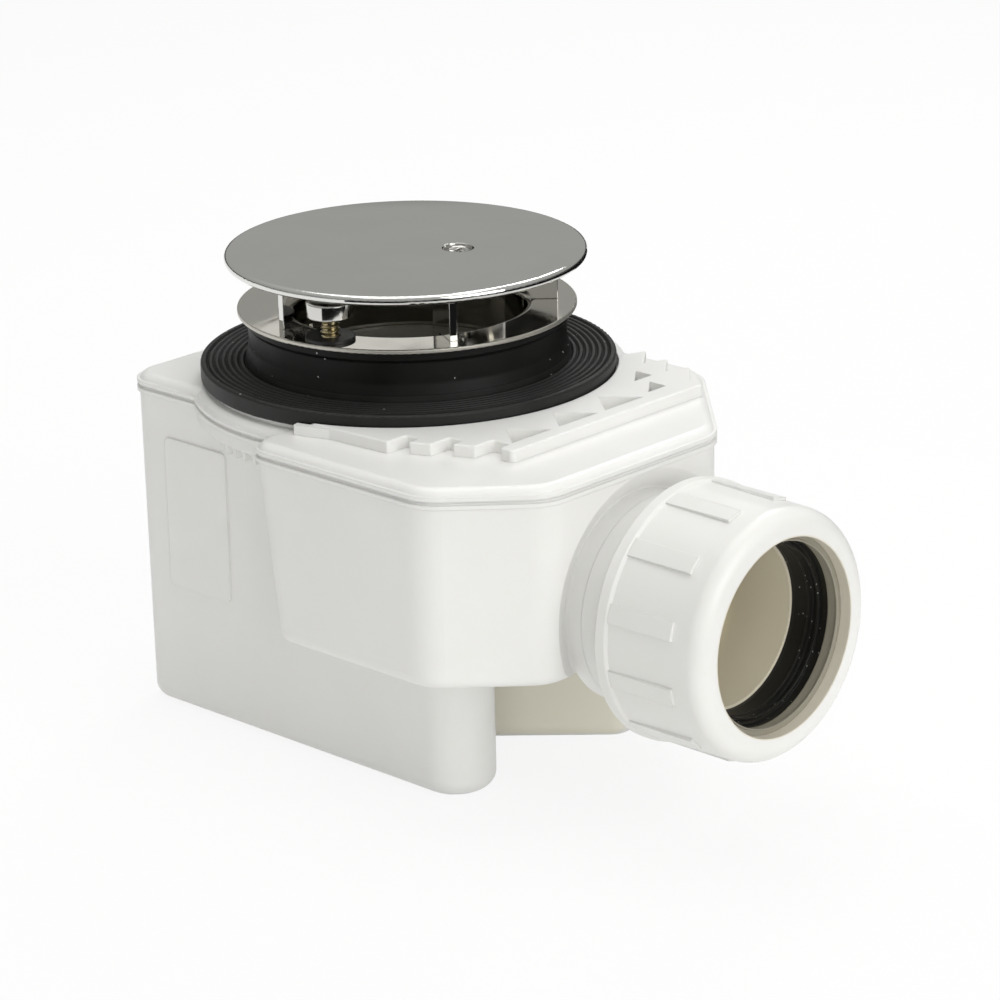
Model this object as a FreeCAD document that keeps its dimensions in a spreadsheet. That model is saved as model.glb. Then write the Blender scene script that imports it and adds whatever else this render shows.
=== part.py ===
import FreeCAD, Part
import math
import os
import Sketcher

# Shower drain with a horizontal outlet: X is the outlet direction, Z is up, the drain axis is at the origin.

doc = FreeCAD.newDocument("ShowerDrain")
sheet = doc.addObject("Spreadsheet::Sheet", "Sizes")

# Closeness at which two measured places count as one
NEAR = 0.01

SIZES = [
    ("wall", 3.0, "wall of the white mouldings"),
    ("slack", 0.4, "gap between pieces that move on each other"),
    ("ease", 0.15, "gap between pieces that are only put together"),
    ("sink", 0.3, "how far a raised detail is let into its base"),
    ("over", 1.0, "how far a cut runs past its face"),
    ("skim", 0.01, "least overrun of a loft cut"),
    ("tiny_round", 0.4, "broken edge of sheet and trim"),
    ("small_round", 0.8, "broken edge of mouldings and rubber"),
    # Lower housing, plan
    ("left_low", 70.0, "left wall at the floor"),
    ("left_top", 71.0, "left wall at the weld bead"),
    ("front_y", 53.7, "front wall from the drain axis"),
    ("back_y", 54.0, "back wall from the drain axis"),
    ("nose_x", 69.0, "tip of the front foot"),
    ("arm_y", 29.3, "inner side of the front foot"),
    ("notch_x", 20.2, "inner corner behind the foot"),
    ("slant", 42.15, "angle of the wall behind the foot"),
    ("side_x", 72.0, "right wall of the lower trough"),
    ("corner_round", 9.0, "upright corners of the trough"),
    ("nose_round", 12.0, "upright round of the foot"),
    ("notch_round", 8.0, "inner corner round"),
    ("floor_round", 5.0, "round along the floor edges"),
    # Upper outlet box, plan
    ("box_low_x", 16.9, "left side of the box at its floor"),
    ("box_top_x", 9.6, "left side of the box at the bead"),
    ("box_front", 77.8, "front face of the box"),
    ("box_right", 107.1, "outlet face of the box"),
    ("box_cut", 26.0, "front chamfer of the box"),
    ("box_end_y", 21.0, "back end of the outlet face"),
    ("box_back", 62.0, "back face of the box"),
    ("box_floor", 47.0, "underside of the box"),
    ("box_round", 14.0, "upright corners of the box"),
    ("box_inner_round", 7.0, "left corners of the box"),
    ("box_edge", 4.0, "round along the box floor"),
    # Heights of the body
    ("bead_z", 104.8, "weld plane of the two mouldings"),
    ("bead_proud", 0.8, "how far the weld beads stand out"),
    ("bead_tall", 1.3, "height of one weld bead"),
    ("bead_off", 0.6, "half gap between the two beads"),
    ("bulge_over", 2.0, "how far the body round stands out past the gasket"),
    ("bulge_tall", 5.3, "height of that round"),
    ("bulge_fall", 11.0, "sloped underside of that round"),
    # Front panel and gussets
    ("panel_left", 54.5, "far side of the flat panel"),
    ("panel_right", 27.0, "near side of the flat panel"),
    ("panel_low", 41.5, "lower edge of the flat panel"),
    ("panel_tall", 49.0, "height of the flat panel"),
    ("panel_round", 2.0, "corner round of the flat panel"),
    ("panel_proud", 0.7, "how far the flat panel stands out"),
    ("gusset_in", 0.6, "gussets from the edge of the round"),
    ("gusset_thick", 1.6, "thickness of a small gusset"),
    ("gusset_tall", 3.6, "height of a small gusset"),
    ("gusset_turn", 269.0, "direction of the last gusset"),
    ("gusset_step", 4.1, "angle between gussets"),
    ("gusset_count", 5, "gussets under the round"),
    # Lid
    ("lid_rise", 4.0, "lid height above the weld plane"),
    ("lid_skin", 2.6, "lid thickness"),
    ("lid_round", 3.2, "round of the lid shoulder"),
    ("lid_reach", 40.0, "how far the left lid half runs under the box lid"),
    ("seat_wide", 7.5, "width of the gasket seat"),
    ("seat_margin", 2.0, "gasket seat from the gasket edge"),
    ("seat_tall", 1.6, "gasket seat above the lid"),
    ("rim_gap", 0.7, "gap between gasket and curved wall"),
    ("rim_thick", 2.2, "curved wall thickness"),
    ("rim_tall", 3.2, "curved wall above the lid"),
    ("rim_mid", 352.0, "middle direction of the curved wall"),
    ("rim_span", 136.0, "angle covered by the curved wall"),
    # Zigzag ribs of the lid
    ("rib_tall", 3.7, "zigzag ribs above the lid"),
    ("tooth_x", 50.2, "right side of the first bar from the drain axis"),
    ("tooth_pitch", 11.3, "pitch of the bars"),
    ("tooth_tip", 60.0, "front end of the first bar"),
    ("tooth_drop", 6.7, "step of the front ends"),
    ("slot_deep", 8.0, "depth of the slots between the bars"),
    ("slot_wide", 4.8, "width of those slots"),
    ("tooth_slant", 3.0, "slant of the front ends"),
    ("tooth_lead", 30.0, "run of the band before the first slot"),
    ("tooth_foot", 2.0, "foot of that run"),
    ("tooth_round", 1.0, "round of the slot ends"),
    ("tip_round", 0.6, "round of the bar corners"),
    ("ridge_in", 79.0, "inner side of the ridge"),
    ("ridge_out", 84.5, "outer side of the ridge"),
    ("ridge_front", 43.0, "front end of the ridge"),
    ("ridge_back", 42.0, "back end of the ridge"),
    ("ridge_round", 1.5, "corner round of the ridge"),
    ("saw_x", 48.3, "first back tooth from the drain axis"),
    ("saw_pitch", 10.8, "back tooth pitch"),
    ("saw_tip", 56.6, "first back tooth tip"),
    ("saw_drop", 2.2, "back tip step"),
    ("saw_run", 3.0, "run of a back tooth"),
    ("saw_deep", 8.0, "depth of a back tooth"),
    ("cell_pitch", 20.3, "pitch of the cells along the ridge"),
    ("cell_long", 17.0, "length of a cell"),
    ("cell_deep", 10.5, "reach of a cell towards the drain"),
    ("cell_mid", -8.5, "place of the middle cell"),
    ("cell_sunk", 0.8, "how deep the cells go into the lid"),
    ("nook_x", 77.0, "first corner cell from the drain axis"),
    ("nook_y", 25.0, "first corner cell towards the back"),
    ("nook_long", 8.0, "length of a corner cell"),
    ("nook_deep", 6.5, "reach of a corner cell"),
    ("nook_in", 10.5, "step of the second corner cell towards the drain"),
    ("nook_back", 5.5, "step of the second corner cell towards the back"),
    # Gasket and neck
    ("collar_gap", 1.5, "gap between collar and rubber"),
    ("gasket_wide", 14.2, "gasket edge past the neck"),
    ("gasket_lip", 1.6, "flat lip along the gasket edge"),
    ("gasket_edge", 5.6, "gasket height at its edge"),
    ("gasket_tall", 7.0, "gasket height at the neck"),
    ("ring_margin", 2.3, "outermost gasket ring from the gasket edge"),
    ("ring_pitch", 1.95, "gasket ring pitch"),
    ("ring_tall", 0.8, "gasket ring height"),
    ("ring_slope", 0.5, "slope of a gasket ring"),
    ("ring_land", 1.2, "inner edge of the flat top of a gasket ring"),
    ("gasket_web", 4.6, "gasket height at its dished face"),
    ("neck_margin", 5.9, "neck wall outside the clamp screws"),
    ("neck_waist", 1.0, "how far the neck is drawn in"),
    ("neck_foot", 3.5, "height of the flared neck foot"),
    ("neck_lip", 2.5, "height of the neck lip under the flange"),
    ("neck_round", 3.0, "round above the neck foot"),
    # Flange
    ("flange_over", 2.2, "flange edge past the neck"),
    ("neck_tall", 13.6, "height of the rubber neck"),
    ("sheet", 1.5, "flange sheet"),
    ("throat_r", 36.6, "inner radius of the drawn collar"),
    ("throat_round", 3.0, "round into the collar"),
    ("collar_long", 32.5, "drawn depth of the collar"),
    ("ledge_wide", 3.0, "width of the ledge in the collar"),
    ("collar_round", 1.5, "round at the lower end of the collar"),
    # Clamp screws
    ("clamp_in", 4.8, "clamp screws from the inner side of the rubber"),
    ("clamp_turn", 103.4, "direction of a clamp screw"),
    ("screw_r", 2.5, "clamp screw shank"),
    ("hole_ease", 0.6, "play of the clamp screws in their holes"),
    ("head_r", 7.0, "clamp screw head radius"),
    ("head_lift", 6.6, "how far the screws are turned out of the flange"),
    ("head_tall", 5.4, "screw head height"),
    ("key_r", 2.5, "key socket of the screw head"),
    ("key_deep", 2.6, "depth of the key socket"),
    ("collar_r", 3.2, "collars on the clamp screw"),
    ("collar_tall", 0.9, "height of a screw collar"),
    ("collar_step", 1.7, "pitch of the screw collars"),
    ("collar_lift", 0.6, "lowest screw collar above the washer"),
    ("washer_r", 7.6, "washer radius"),
    ("washer_thick", 1.0, "washer thickness"),
    ("insert_r", 3.6, "insert radius"),
    ("insert_long", 13.8, "length of the inserts"),
    ("shank_gap", 1.0, "room under the screw end"),
    ("boss_wall", 1.4, "boss wall round an insert"),
    ("boss_floor", 1.5, "floor of the bosses"),
    # Cover
    ("cover_r", 56.0, "cover radius"),
    ("cover_gap", 14.3, "water slot between flange and cover"),
    ("rim_height", 3.0, "height of the cover rim"),
    ("dome_rise", 1.6, "rise of the cover dome"),
    ("cover_skin", 2.6, "cover thickness"),
    ("cover_rim", 2.6, "width of the cover rim underneath"),
    ("cover_round", 1.4, "round of the cover edge"),
    ("fin_count", 5, "fins under the cover"),
    ("fin_turn", 44.0, "direction of a fin"),
    ("fin_thick", 2.4, "fin thickness"),
    ("fin_foot", 10.7, "width of the fin part on the flange"),
    ("fin_leg", 5.9, "width of the fin part inside the collar"),
    ("fin_gap", 0.7, "gap between fin and collar"),
    ("fin_reach", 8.5, "how far a fin reaches into the collar"),
    ("fin_round", 1.2, "round of the fin ends"),
    # Small screw of the cover
    ("lock_x", 16.75, "cover screw place"),
    ("lock_y", 5.9, "cover screw place"),
    ("lock_r", 4.7, "cover screw head"),
    ("lock_head", 1.1, "cover screw head thickness"),
    ("lock_sunk", 2.1, "depth of the cover screw seat"),
    ("lock_shank", 2.0, "cover screw shank"),
    ("lock_long", 7.4, "length of the cover screw"),
    ("lock_cross", 3.0, "half length of the cross slots"),
    ("lock_deep", 0.8, "depth of the cross slots"),
    ("lock_slot", 1.1, "width of the cross slots"),
    # Dip tube
    ("dip_r", 28.5, "dip tube radius"),
    ("dip_wall", 2.0, "dip tube wall"),
    ("dip_gap", 11.0, "water way under the dip tube"),
    ("cup_wall", 2.8, "cup wall"),
    ("cup_tall", 14.0, "height of the cup"),
    ("grip_wide", 5.0, "grip bar width"),
    ("grip_tall", 4.0, "grip bar height"),
    ("groove_lift", 3.5, "ring groove above the ledge"),
    ("groove_tall", 2.5, "height of the ring groove"),
    ("groove_deep", 1.0, "depth of the ring groove"),
    # Outlet
    ("outlet_y", 10.0, "outlet axis towards the front"),
    ("outlet_rise", 16.7, "outlet axis above the underside of the box"),
    ("face_extra", 3.2, "extra wall behind the outlet face"),
    ("root_long", 2.5, "root of the barrel past the outlet face"),
    ("dish_deep", 3.8, "depth of the dish round the barrel root"),
    ("dish_foot", 0.8, "flat foot of that dish"),
    ("dish_wide", 6.8, "width of that dish at the outlet face"),
    ("scoop_long", 30.0, "length of the scoop under the box floor"),
    ("scoop_r", 14.0, "start radius of the scoop"),
    ("scoop_wall", 6.0, "end wall of the scoop"),
    ("scoop_shell", 3.2, "shell of the scoop at the outlet face"),
    ("stop_thick", 3.0, "stop ring for the pipe"),
    ("barrel_step", 0.8, "step from thread to barrel"),
    ("barrel_long", 13.3, "length of the barrel"),
    ("stub_wall", 1.8, "wall of the stub round the seal"),
    ("stub_long", 41.4, "length of the stub"),
    ("stop_step", 2.4, "inward step of the stop ring"),
    ("stop_in", 9.9, "stop of the pipe from the outlet face"),
    ("socket_r", 25.4, "pipe socket"),
    ("socket_long", 23.5, "length of the pipe socket"),
    ("seal_thick", 4.2, "room for the pipe seal"),
    ("seal_open", 0.8, "how far the relaxed seal stands off the socket line"),
    ("seal_land", 1.2, "straight land of the pipe seal"),
    ("seal_long", 11.7, "length of the pipe seal"),
    ("slip_long", 3.6, "thickness of the slip ring"),
    ("slip_open", 3.0, "slip ring opening past the socket"),
    ("nut_step", 0.9, "step behind the collar of the nut"),
    ("nut_gap", 0.6, "gap between barrel and nut"),
    ("nut_lip", 3.8, "front wall of the nut"),
    ("nut_wall", 7.8, "wall of the nut at its collar"),
    ("nut_taper", 1.7, "taper of the nut"),
    ("nut_round", 5.0, "front round of the nut"),
    ("mouth_step", 1.5, "nut mouth past the slip ring opening"),
    ("nut_band", 4.0, "collar at the back of the nut"),
    ("grip_in", 4.6, "grip ribs from the back of the nut"),
    ("grip_long", 23.5, "length of the grip ribs"),
    ("grip_proud", 1.3, "height of the grip ribs"),
    ("grip_span", 8.5, "angle of one grip rib"),
    ("grip_count", 12, "grip ribs round the nut"),
    ("grip_turn", 15.0, "direction of the first grip rib"),
    ("rib_edge", 0.5, "broken upper edge of the zigzag ribs"),
    ("seal_groove", 0.6, "depth of the grooves in the pipe seal"),
    ("seal_ring", 2.4, "pitch of those grooves"),
]

for row, (alias, size, note) in enumerate(SIZES, 1):
    sheet.set("A%d" % row, note)
    sheet.set("B%d" % row, str(size))
    sheet.setAlias("B%d" % row, alias)
doc.recompute()


def cell(name):
    """Expression that reads one named size of the sheet."""
    return "Sizes." + name


def value(expression):
    """Present number of an expression on the sheet."""
    return float(sheet.evalExpression(str(expression)))


def new_body(label):
    """New body that holds one piece."""
    body = doc.addObject("PartDesign::Body", label)
    body.Label = label
    return body


def origin_plane(body, role):
    """Origin plane of a body by its role."""
    return [item for item in body.Origin.OriginFeatures if item.Role == role][0]


def new_sketch(body, name, role, shift="0", rise="0", turn=None, about=(0, 1, 0)):
    """Sketch on an origin plane, shifted along its normal and upright, or turned about one of its axes."""
    sketch = body.newObject("Sketcher::SketchObject", name)
    sketch.AttachmentSupport = (origin_plane(body, role), [""])
    sketch.MapMode = "FlatFace"
    if turn is not None:
        upright = FreeCAD.Rotation(FreeCAD.Vector(*about), value(turn))
        sketch.AttachmentOffset = FreeCAD.Placement(FreeCAD.Vector(0, 0, 0), upright)
        sketch.setExpression("AttachmentOffset.Rotation.Angle", turn)
    if shift != "0":
        sketch.setExpression("AttachmentOffset.Base.z", shift)
    if rise != "0":
        sketch.setExpression("AttachmentOffset.Base.y", rise)
    return sketch


def drive(sketch, kind, arguments, expression):
    """Dimension of a sketch that follows an expression."""
    index = sketch.addConstraint(Sketcher.Constraint(kind, *arguments, value(expression)))
    if "Sizes." in str(expression):
        sketch.setExpression("Constraints[%d]" % index, str(expression))


def pin(sketch, geometry, end, x, y):
    """Fix a point of a sketch to driven coordinates."""
    for kind, axis, expression in (("DistanceX", -2, x), ("DistanceY", -1, y)):
        if str(expression) == "0":
            sketch.addConstraint(Sketcher.Constraint("PointOnObject", geometry, end, axis))
        else:
            drive(sketch, kind, (-1, 1, geometry, end), expression)


def add_loop(sketch, corners):
    """Closed loop of straight sides; a corner is (x, y) or (x, y, round)."""
    count = len(corners)
    spots = [FreeCAD.Vector(value(c[0]), value(c[1]), 0) for c in corners]
    rounds = [value(c[2]) if len(c) > 2 else 0.0 for c in corners]
    enter, leave, turns = [], [], []
    for i in range(count):
        before = (spots[i] - spots[i - 1]).normalize()
        after = (spots[(i + 1) % count] - spots[i]).normalize()
        cross = before.x * after.y - before.y * after.x
        bend = math.atan2(cross, before.dot(after))
        cut = rounds[i] * math.tan(abs(bend) / 2)
        enter.append(spots[i] - before * cut)
        leave.append(spots[i] + after * cut)
        turns.append((bend, before))
    sides = []
    for i in range(count):
        sides.append(sketch.addGeometry(Part.LineSegment(leave[i], enter[(i + 1) % count]), False))
    for i in range(count):
        last, following = sides[i - 1], sides[i]
        if rounds[i] == 0.0:
            sketch.addConstraint(Sketcher.Constraint("Coincident", last, 2, following, 1))
            pin(sketch, following, 1, corners[i][0], corners[i][1])
            continue
        bend, before = turns[i]
        side = 1 if bend > 0 else -1
        middle = enter[i] + FreeCAD.Vector(-before.y, before.x, 0) * (side * rounds[i])
        first, second = (enter[i], leave[i]) if side > 0 else (leave[i], enter[i])
        start = math.atan2(first.y - middle.y, first.x - middle.x)
        stop = math.atan2(second.y - middle.y, second.x - middle.x)
        circle = Part.Circle(middle, FreeCAD.Vector(0, 0, 1), rounds[i])
        arc = sketch.addGeometry(Part.ArcOfCircle(circle, start, stop), False)
        mark = sketch.addGeometry(Part.Point(spots[i]), True)
        inward, outward = (1, 2) if side > 0 else (2, 1)
        sketch.addConstraint(Sketcher.Constraint("Tangent", last, 2, arc, inward))
        sketch.addConstraint(Sketcher.Constraint("Tangent", arc, outward, following, 1))
        sketch.addConstraint(Sketcher.Constraint("PointOnObject", mark, 1, last))
        sketch.addConstraint(Sketcher.Constraint("PointOnObject", mark, 1, following))
        pin(sketch, mark, 1, corners[i][0], corners[i][1])
        drive(sketch, "Radius", (arc,), corners[i][2])


def add_circle(sketch, x, y, radius):
    """Circle of driven place and radius."""
    spot = FreeCAD.Vector(value(x), value(y), 0)
    ring = sketch.addGeometry(Part.Circle(spot, FreeCAD.Vector(0, 0, 1), value(radius)), False)
    if str(x) == "0" and str(y) == "0":
        sketch.addConstraint(Sketcher.Constraint("Coincident", ring, 3, -1, 1))
    else:
        pin(sketch, ring, 3, x, y)
    drive(sketch, "Radius", (ring,), radius)


def extrude(body, sketch, name, length, cut=False, reverse=False, middle=False):
    """Pad or pocket of a sketch; a pocket runs against the sketch normal unless reversed."""
    feature = body.newObject("PartDesign::Pocket" if cut else "PartDesign::Pad", name)
    feature.Profile = sketch
    feature.setExpression("Length", length)
    feature.Reversed = reverse
    feature.Midplane = middle
    doc.recompute()
    return feature


def spin(body, sketch, name, axis="V_Axis", cut=False, angle=None):
    """Revolution or groove of a sketch about one of its axes."""
    feature = body.newObject("PartDesign::Groove" if cut else "PartDesign::Revolution", name)
    feature.Profile = sketch
    feature.ReferenceAxis = (sketch, [axis])
    feature.Angle = 360
    if angle is not None:
        feature.Midplane = True
        feature.setExpression("Angle", angle)
    doc.recompute()
    return feature


def loft(body, low, high, name, cut=False):
    """Straight loft between two outlines."""
    feature = body.newObject("PartDesign::SubtractiveLoft" if cut else "PartDesign::AdditiveLoft", name)
    feature.Profile = low
    feature.Sections = [high]
    feature.Ruled = True
    doc.recompute()
    return feature


def repeat(body, features, name, axis, angle, count):
    """Polar pattern of features."""
    pattern = body.newObject("PartDesign::PolarPattern", name)
    pattern.Originals = features
    pattern.Axis = axis
    pattern.setExpression("Angle", angle)
    pattern.setExpression("Occurrences", count)
    body.Tip = pattern
    doc.recompute()
    return pattern


def z_axis(body):
    """Drain axis of a body, as a pattern axis."""
    return (origin_plane(body, "Z_Axis"), [""])


def soften(body, base, name, size, wanted):
    """Fillet of the edges that a test picks."""
    names = ["Edge%d" % (i + 1) for i, edge in enumerate(base.Shape.Edges) if wanted(edge)]
    feature = body.newObject("PartDesign::Fillet", name)
    feature.Base = (base, names)
    feature.setExpression("Radius", size)
    doc.recompute()
    return feature


def level(edge, height):
    """True for an edge that lies in one level."""
    box = edge.BoundBox
    return abs(box.ZMin - height) < NEAR and abs(box.ZMax - height) < NEAR


def face_names(base, wanted):
    """Names of the faces that a test picks."""
    return ["Face%d" % (i + 1) for i, face in enumerate(base.Shape.Faces) if wanted(face)]


def on_left(edge):
    """True for the two upright corner edges of the left wall."""
    box = edge.BoundBox
    return box.XMax < -value(cell("left_low")) + NEAR and box.ZLength > value(cell("bead_z")) - NEAR


def on_outline(edge, sketch):
    """True for an edge that runs along the outline of a sketch."""
    middle = edge.valueAt((edge.FirstParameter + edge.LastParameter) / 2)
    ends = [vertex.Point for vertex in edge.Vertexes]
    return all(sketch.Shape.distToShape(Part.Vertex(spot))[0] < NEAR for spot in [middle] + ends)


def plus(first, second):
    """Sum of two expressions."""
    return "(%s) + (%s)" % (first, second)


def minus(first, second):
    """Difference of two expressions."""
    return "(%s) - (%s)" % (first, second)


def trough_plan(left, inset):
    """Plan of the lower trough, drawn in by an inset."""
    diagonal = "tan(Sizes.slant) * (Sizes.side_x - ({0}) + ({0}) * sin(Sizes.slant) - Sizes.notch_x)"
    diagonal = (diagonal + " - Sizes.arm_y + ({0}) * cos(Sizes.slant)").format(inset)
    inner = "Sizes.notch_x - ({0}) * (sin(Sizes.slant) + (1 + cos(Sizes.slant)) / tan(Sizes.slant))"
    corner = minus(cell("corner_round"), inset)
    nose = minus(cell("nose_round"), inset)
    return [
        ("-(%s) + (%s)" % (left, inset), "-Sizes.front_y + (%s)" % inset, corner),
        (minus(cell("nose_x"), inset), "-Sizes.front_y + (%s)" % inset, nose),
        (minus(cell("nose_x"), inset), "-Sizes.arm_y - (%s)" % inset, nose),
        (inner.format(inset), "-Sizes.arm_y - (%s)" % inset, plus(cell("notch_round"), inset)),
        (minus(cell("side_x"), inset), diagonal, corner),
        (minus(cell("side_x"), inset), minus(cell("back_y"), inset), corner),
        ("-(%s) + (%s)" % (left, inset), minus(cell("back_y"), inset), corner),
    ]


HALF_CHAMFER = "22.5"


def box_plan(left, inset, right=None):
    """Plan of the upper outlet box, drawn in by an inset; its outlet face can be moved."""
    right = right or cell("box_right")
    half = "(%s) * tan(%s)" % (inset, HALF_CHAMFER)
    corner = minus(cell("box_round"), inset)
    turn = "%s - (Sizes.box_back - Sizes.box_end_y)" % right
    return [
        (plus(left, inset), "-Sizes.box_front + (%s)" % inset, minus(cell("box_inner_round"), inset)),
        ("%s - Sizes.box_cut - %s" % (right, half), "-Sizes.box_front + (%s)" % inset, corner),
        (minus(right, inset), "-Sizes.box_front + Sizes.box_cut + %s" % half, corner),
        (minus(right, inset), "Sizes.box_end_y - %s" % half, corner),
        ("%s - %s" % (turn, half), minus(cell("box_back"), inset), corner),
        (plus(left, inset), minus(cell("box_back"), inset), minus(cell("box_inner_round"), inset)),
    ]


def left_plan(inset):
    """Plan of the left half of the lid, drawn in by an inset."""
    corner = minus(cell("corner_round"), inset)
    return [
        ("-Sizes.left_top + (%s)" % inset, "-Sizes.front_y + (%s)" % inset, corner),
        (cell("lid_reach"), "-Sizes.front_y + (%s)" % inset),
        (cell("lid_reach"), minus(cell("back_y"), inset)),
        ("-Sizes.left_top + (%s)" % inset, minus(cell("back_y"), inset), corner),
    ]


def plan_sketch(body, name, height, corners):
    """Level sketch at a height with one loop."""
    sketch = new_sketch(body, name, "XY_Plane", shift=height)
    add_loop(sketch, corners)
    return sketch


def disc(body, name, low, high, radius, cut=False, x="0", y="0"):
    """Round pad or pocket between two heights."""
    sketch = new_sketch(body, name + "Plan", "XY_Plane", shift=low)
    add_circle(sketch, x, y, radius)
    return extrude(body, sketch, name, minus(high, low), cut=cut, reverse=cut)


def add_beads(body, low):
    """Weld bead round the whole outline, with its underside at a height."""
    outset = "-Sizes.bead_proud"
    plans = (("BeadLeft", left_plan(outset)), ("BeadRight", box_plan(cell("box_top_x"), outset)))
    for name, corners in plans:
        extrude(body, plan_sketch(body, name + "Plan", low, corners), name, cell("bead_tall"))
    disc(body, "BeadRound", low, plus(low, cell("bead_tall")), plus(BULGE_R, cell("bead_proud")))


def ring_profile(body, name, corners, turn=None):
    """Upright sketch through the drain axis."""
    sketch = new_sketch(body, name, "XZ_Plane", turn=turn)
    add_loop(sketch, corners)
    return sketch


def outlet_profile(body, name, corners, turn=None):
    """Sketch through the outlet axis, measured from that axis and turned about it."""
    sketch = new_sketch(
        body, name, "XZ_Plane", shift=cell("outlet_y"), rise=OUTLET_Z, turn=turn, about=(1, 0, 0))
    add_loop(sketch, corners)
    return sketch


def dome_arc(sketch, radius, edge, top):
    """Flat dome arc from its edge to the drain axis."""
    reach, low, high = value(radius), value(edge), value(top)
    rise = high - low
    bend = (reach * reach + rise * rise) / (2 * rise)
    circle = Part.Circle(FreeCAD.Vector(0, high - bend, 0), FreeCAD.Vector(0, 0, 1), bend)
    arc = sketch.addGeometry(Part.ArcOfCircle(circle, math.acos(reach / bend), math.pi / 2), False)
    sketch.addConstraint(Sketcher.Constraint("PointOnObject", arc, 3, -2))
    pin(sketch, arc, 1, radius, edge)
    pin(sketch, arc, 2, "0", top)
    return arc


def join(sketch, first, end, second, start):
    """Line between two ends of a sketch."""
    side = Part.LineSegment(sketch.getPoint(first, end), sketch.getPoint(second, start))
    line = sketch.addGeometry(side, False)
    sketch.addConstraint(Sketcher.Constraint("Coincident", first, end, line, 1))
    sketch.addConstraint(Sketcher.Constraint("Coincident", line, 2, second, start))


def roof(radius):
    """Height inside the cover skin at a radius."""
    share = "(%s) / Sizes.cover_r" % radius
    return "%s + Sizes.dome_rise * (1 - (%s) * (%s)) - Sizes.cover_skin / 2" % (COVER_EDGE, share, share)


def clamp_spot():
    """Place of the first clamp screw."""
    return "(%s) * cos(Sizes.clamp_turn)" % CLAMP_R, "(%s) * sin(Sizes.clamp_turn)" % CLAMP_R


def clamp_holes(body, name, low, high, radius):
    """Two round holes at the clamp screws."""
    x, y = clamp_spot()
    hole = disc(body, name, low, high, radius, cut=True, x=x, y=y)
    return repeat(body, [hole], name + "Pair", z_axis(body), "360", "2")


# Heights, stacked from the floor up
BEAD = cell("bead_z")
WALL = cell("wall")
OVER = cell("over")
SINK = cell("sink")
LID_TOP = plus(BEAD, cell("lid_rise"))
BULGE_LOW = minus(BEAD, cell("bulge_tall"))
GASKET_LOW = plus(LID_TOP, cell("seat_tall"))
GASKET_FACE = plus(GASKET_LOW, cell("gasket_web"))
GASKET_TOP = plus(GASKET_LOW, cell("gasket_tall"))
RIM_TOP = plus(LID_TOP, cell("rim_tall"))
RIB_LOW = minus(LID_TOP, SINK)
RIB_TOP = plus(LID_TOP, cell("rib_tall"))
FLANGE_LOW = plus(GASKET_TOP, cell("neck_tall"))
FLANGE_TOP = plus(FLANGE_LOW, cell("sheet"))
COLLAR_LOW = minus(FLANGE_LOW, cell("collar_long"))
LEDGE = plus(COLLAR_LOW, cell("sheet"))
WASHER_TOP = plus(FLANGE_TOP, cell("washer_thick"))
HEAD_LOW = plus(FLANGE_TOP, cell("head_lift"))
HEAD_TOP = plus(HEAD_LOW, cell("head_tall"))
INSERT_LOW = minus(LID_TOP, cell("insert_long"))
BOSS_LOW = minus(INSERT_LOW, cell("boss_floor"))
COVER_LOW = plus(FLANGE_TOP, cell("cover_gap"))
COVER_EDGE = plus(COVER_LOW, cell("rim_height"))
COVER_TOP = plus(COVER_EDGE, cell("dome_rise"))
FIN_LOW = minus(FLANGE_TOP, cell("fin_reach"))
LOCK_SEAT = minus(COVER_TOP, cell("lock_sunk"))
LOCK_TOP = plus(LOCK_SEAT, cell("lock_head"))
LOCK_LOW = minus(LOCK_SEAT, cell("lock_long"))
DIP_LOW = plus(WALL, cell("dip_gap"))
CUP_TOP = plus(LEDGE, cell("cup_tall"))
GROOVE_LOW = plus(LEDGE, cell("groove_lift"))
GROOVE_TOP = plus(GROOVE_LOW, cell("groove_tall"))
PANEL_TOP = plus(cell("panel_low"), cell("panel_tall"))
OUTLET_Z = plus(cell("box_floor"), cell("outlet_rise"))

# Radii round the drain axis
COLLAR_R = plus(cell("throat_r"), cell("sheet"))
RUBBER_IN = plus(COLLAR_R, cell("collar_gap"))
CLAMP_R = plus(RUBBER_IN, cell("clamp_in"))
NECK_R = plus(CLAMP_R, cell("neck_margin"))
FLANGE_R = plus(NECK_R, cell("flange_over"))
GASKET_R = plus(NECK_R, cell("gasket_wide"))
BULGE_R = plus(GASKET_R, cell("bulge_over"))
RIM_IN = plus(GASKET_R, cell("rim_gap"))
RIM_OUT = plus(RIM_IN, cell("rim_thick"))
SEAT_OUT = minus(GASKET_R, cell("seat_margin"))
SEAT_IN = minus(SEAT_OUT, cell("seat_wide"))
LEDGE_R = minus(cell("throat_r"), cell("ledge_wide"))
SCREW_HOLE = plus(cell("screw_r"), cell("hole_ease"))
BOSS_R = plus(cell("insert_r"), cell("boss_wall"))
CUP_R = minus(cell("throat_r"), cell("slack"))
CUP_IN = minus(CUP_R, cell("cup_wall"))
GROOVE_R = minus(CUP_R, cell("groove_deep"))
TUBE_IN = minus(cell("dip_r"), cell("dip_wall"))
FIN_STEP = minus(cell("throat_r"), cell("fin_gap"))
FIN_IN = minus(FIN_STEP, cell("fin_leg"))
FIN_OUT = plus(FIN_STEP, cell("fin_foot"))
COVER_IN = minus(cell("cover_r"), cell("cover_rim"))

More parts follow.
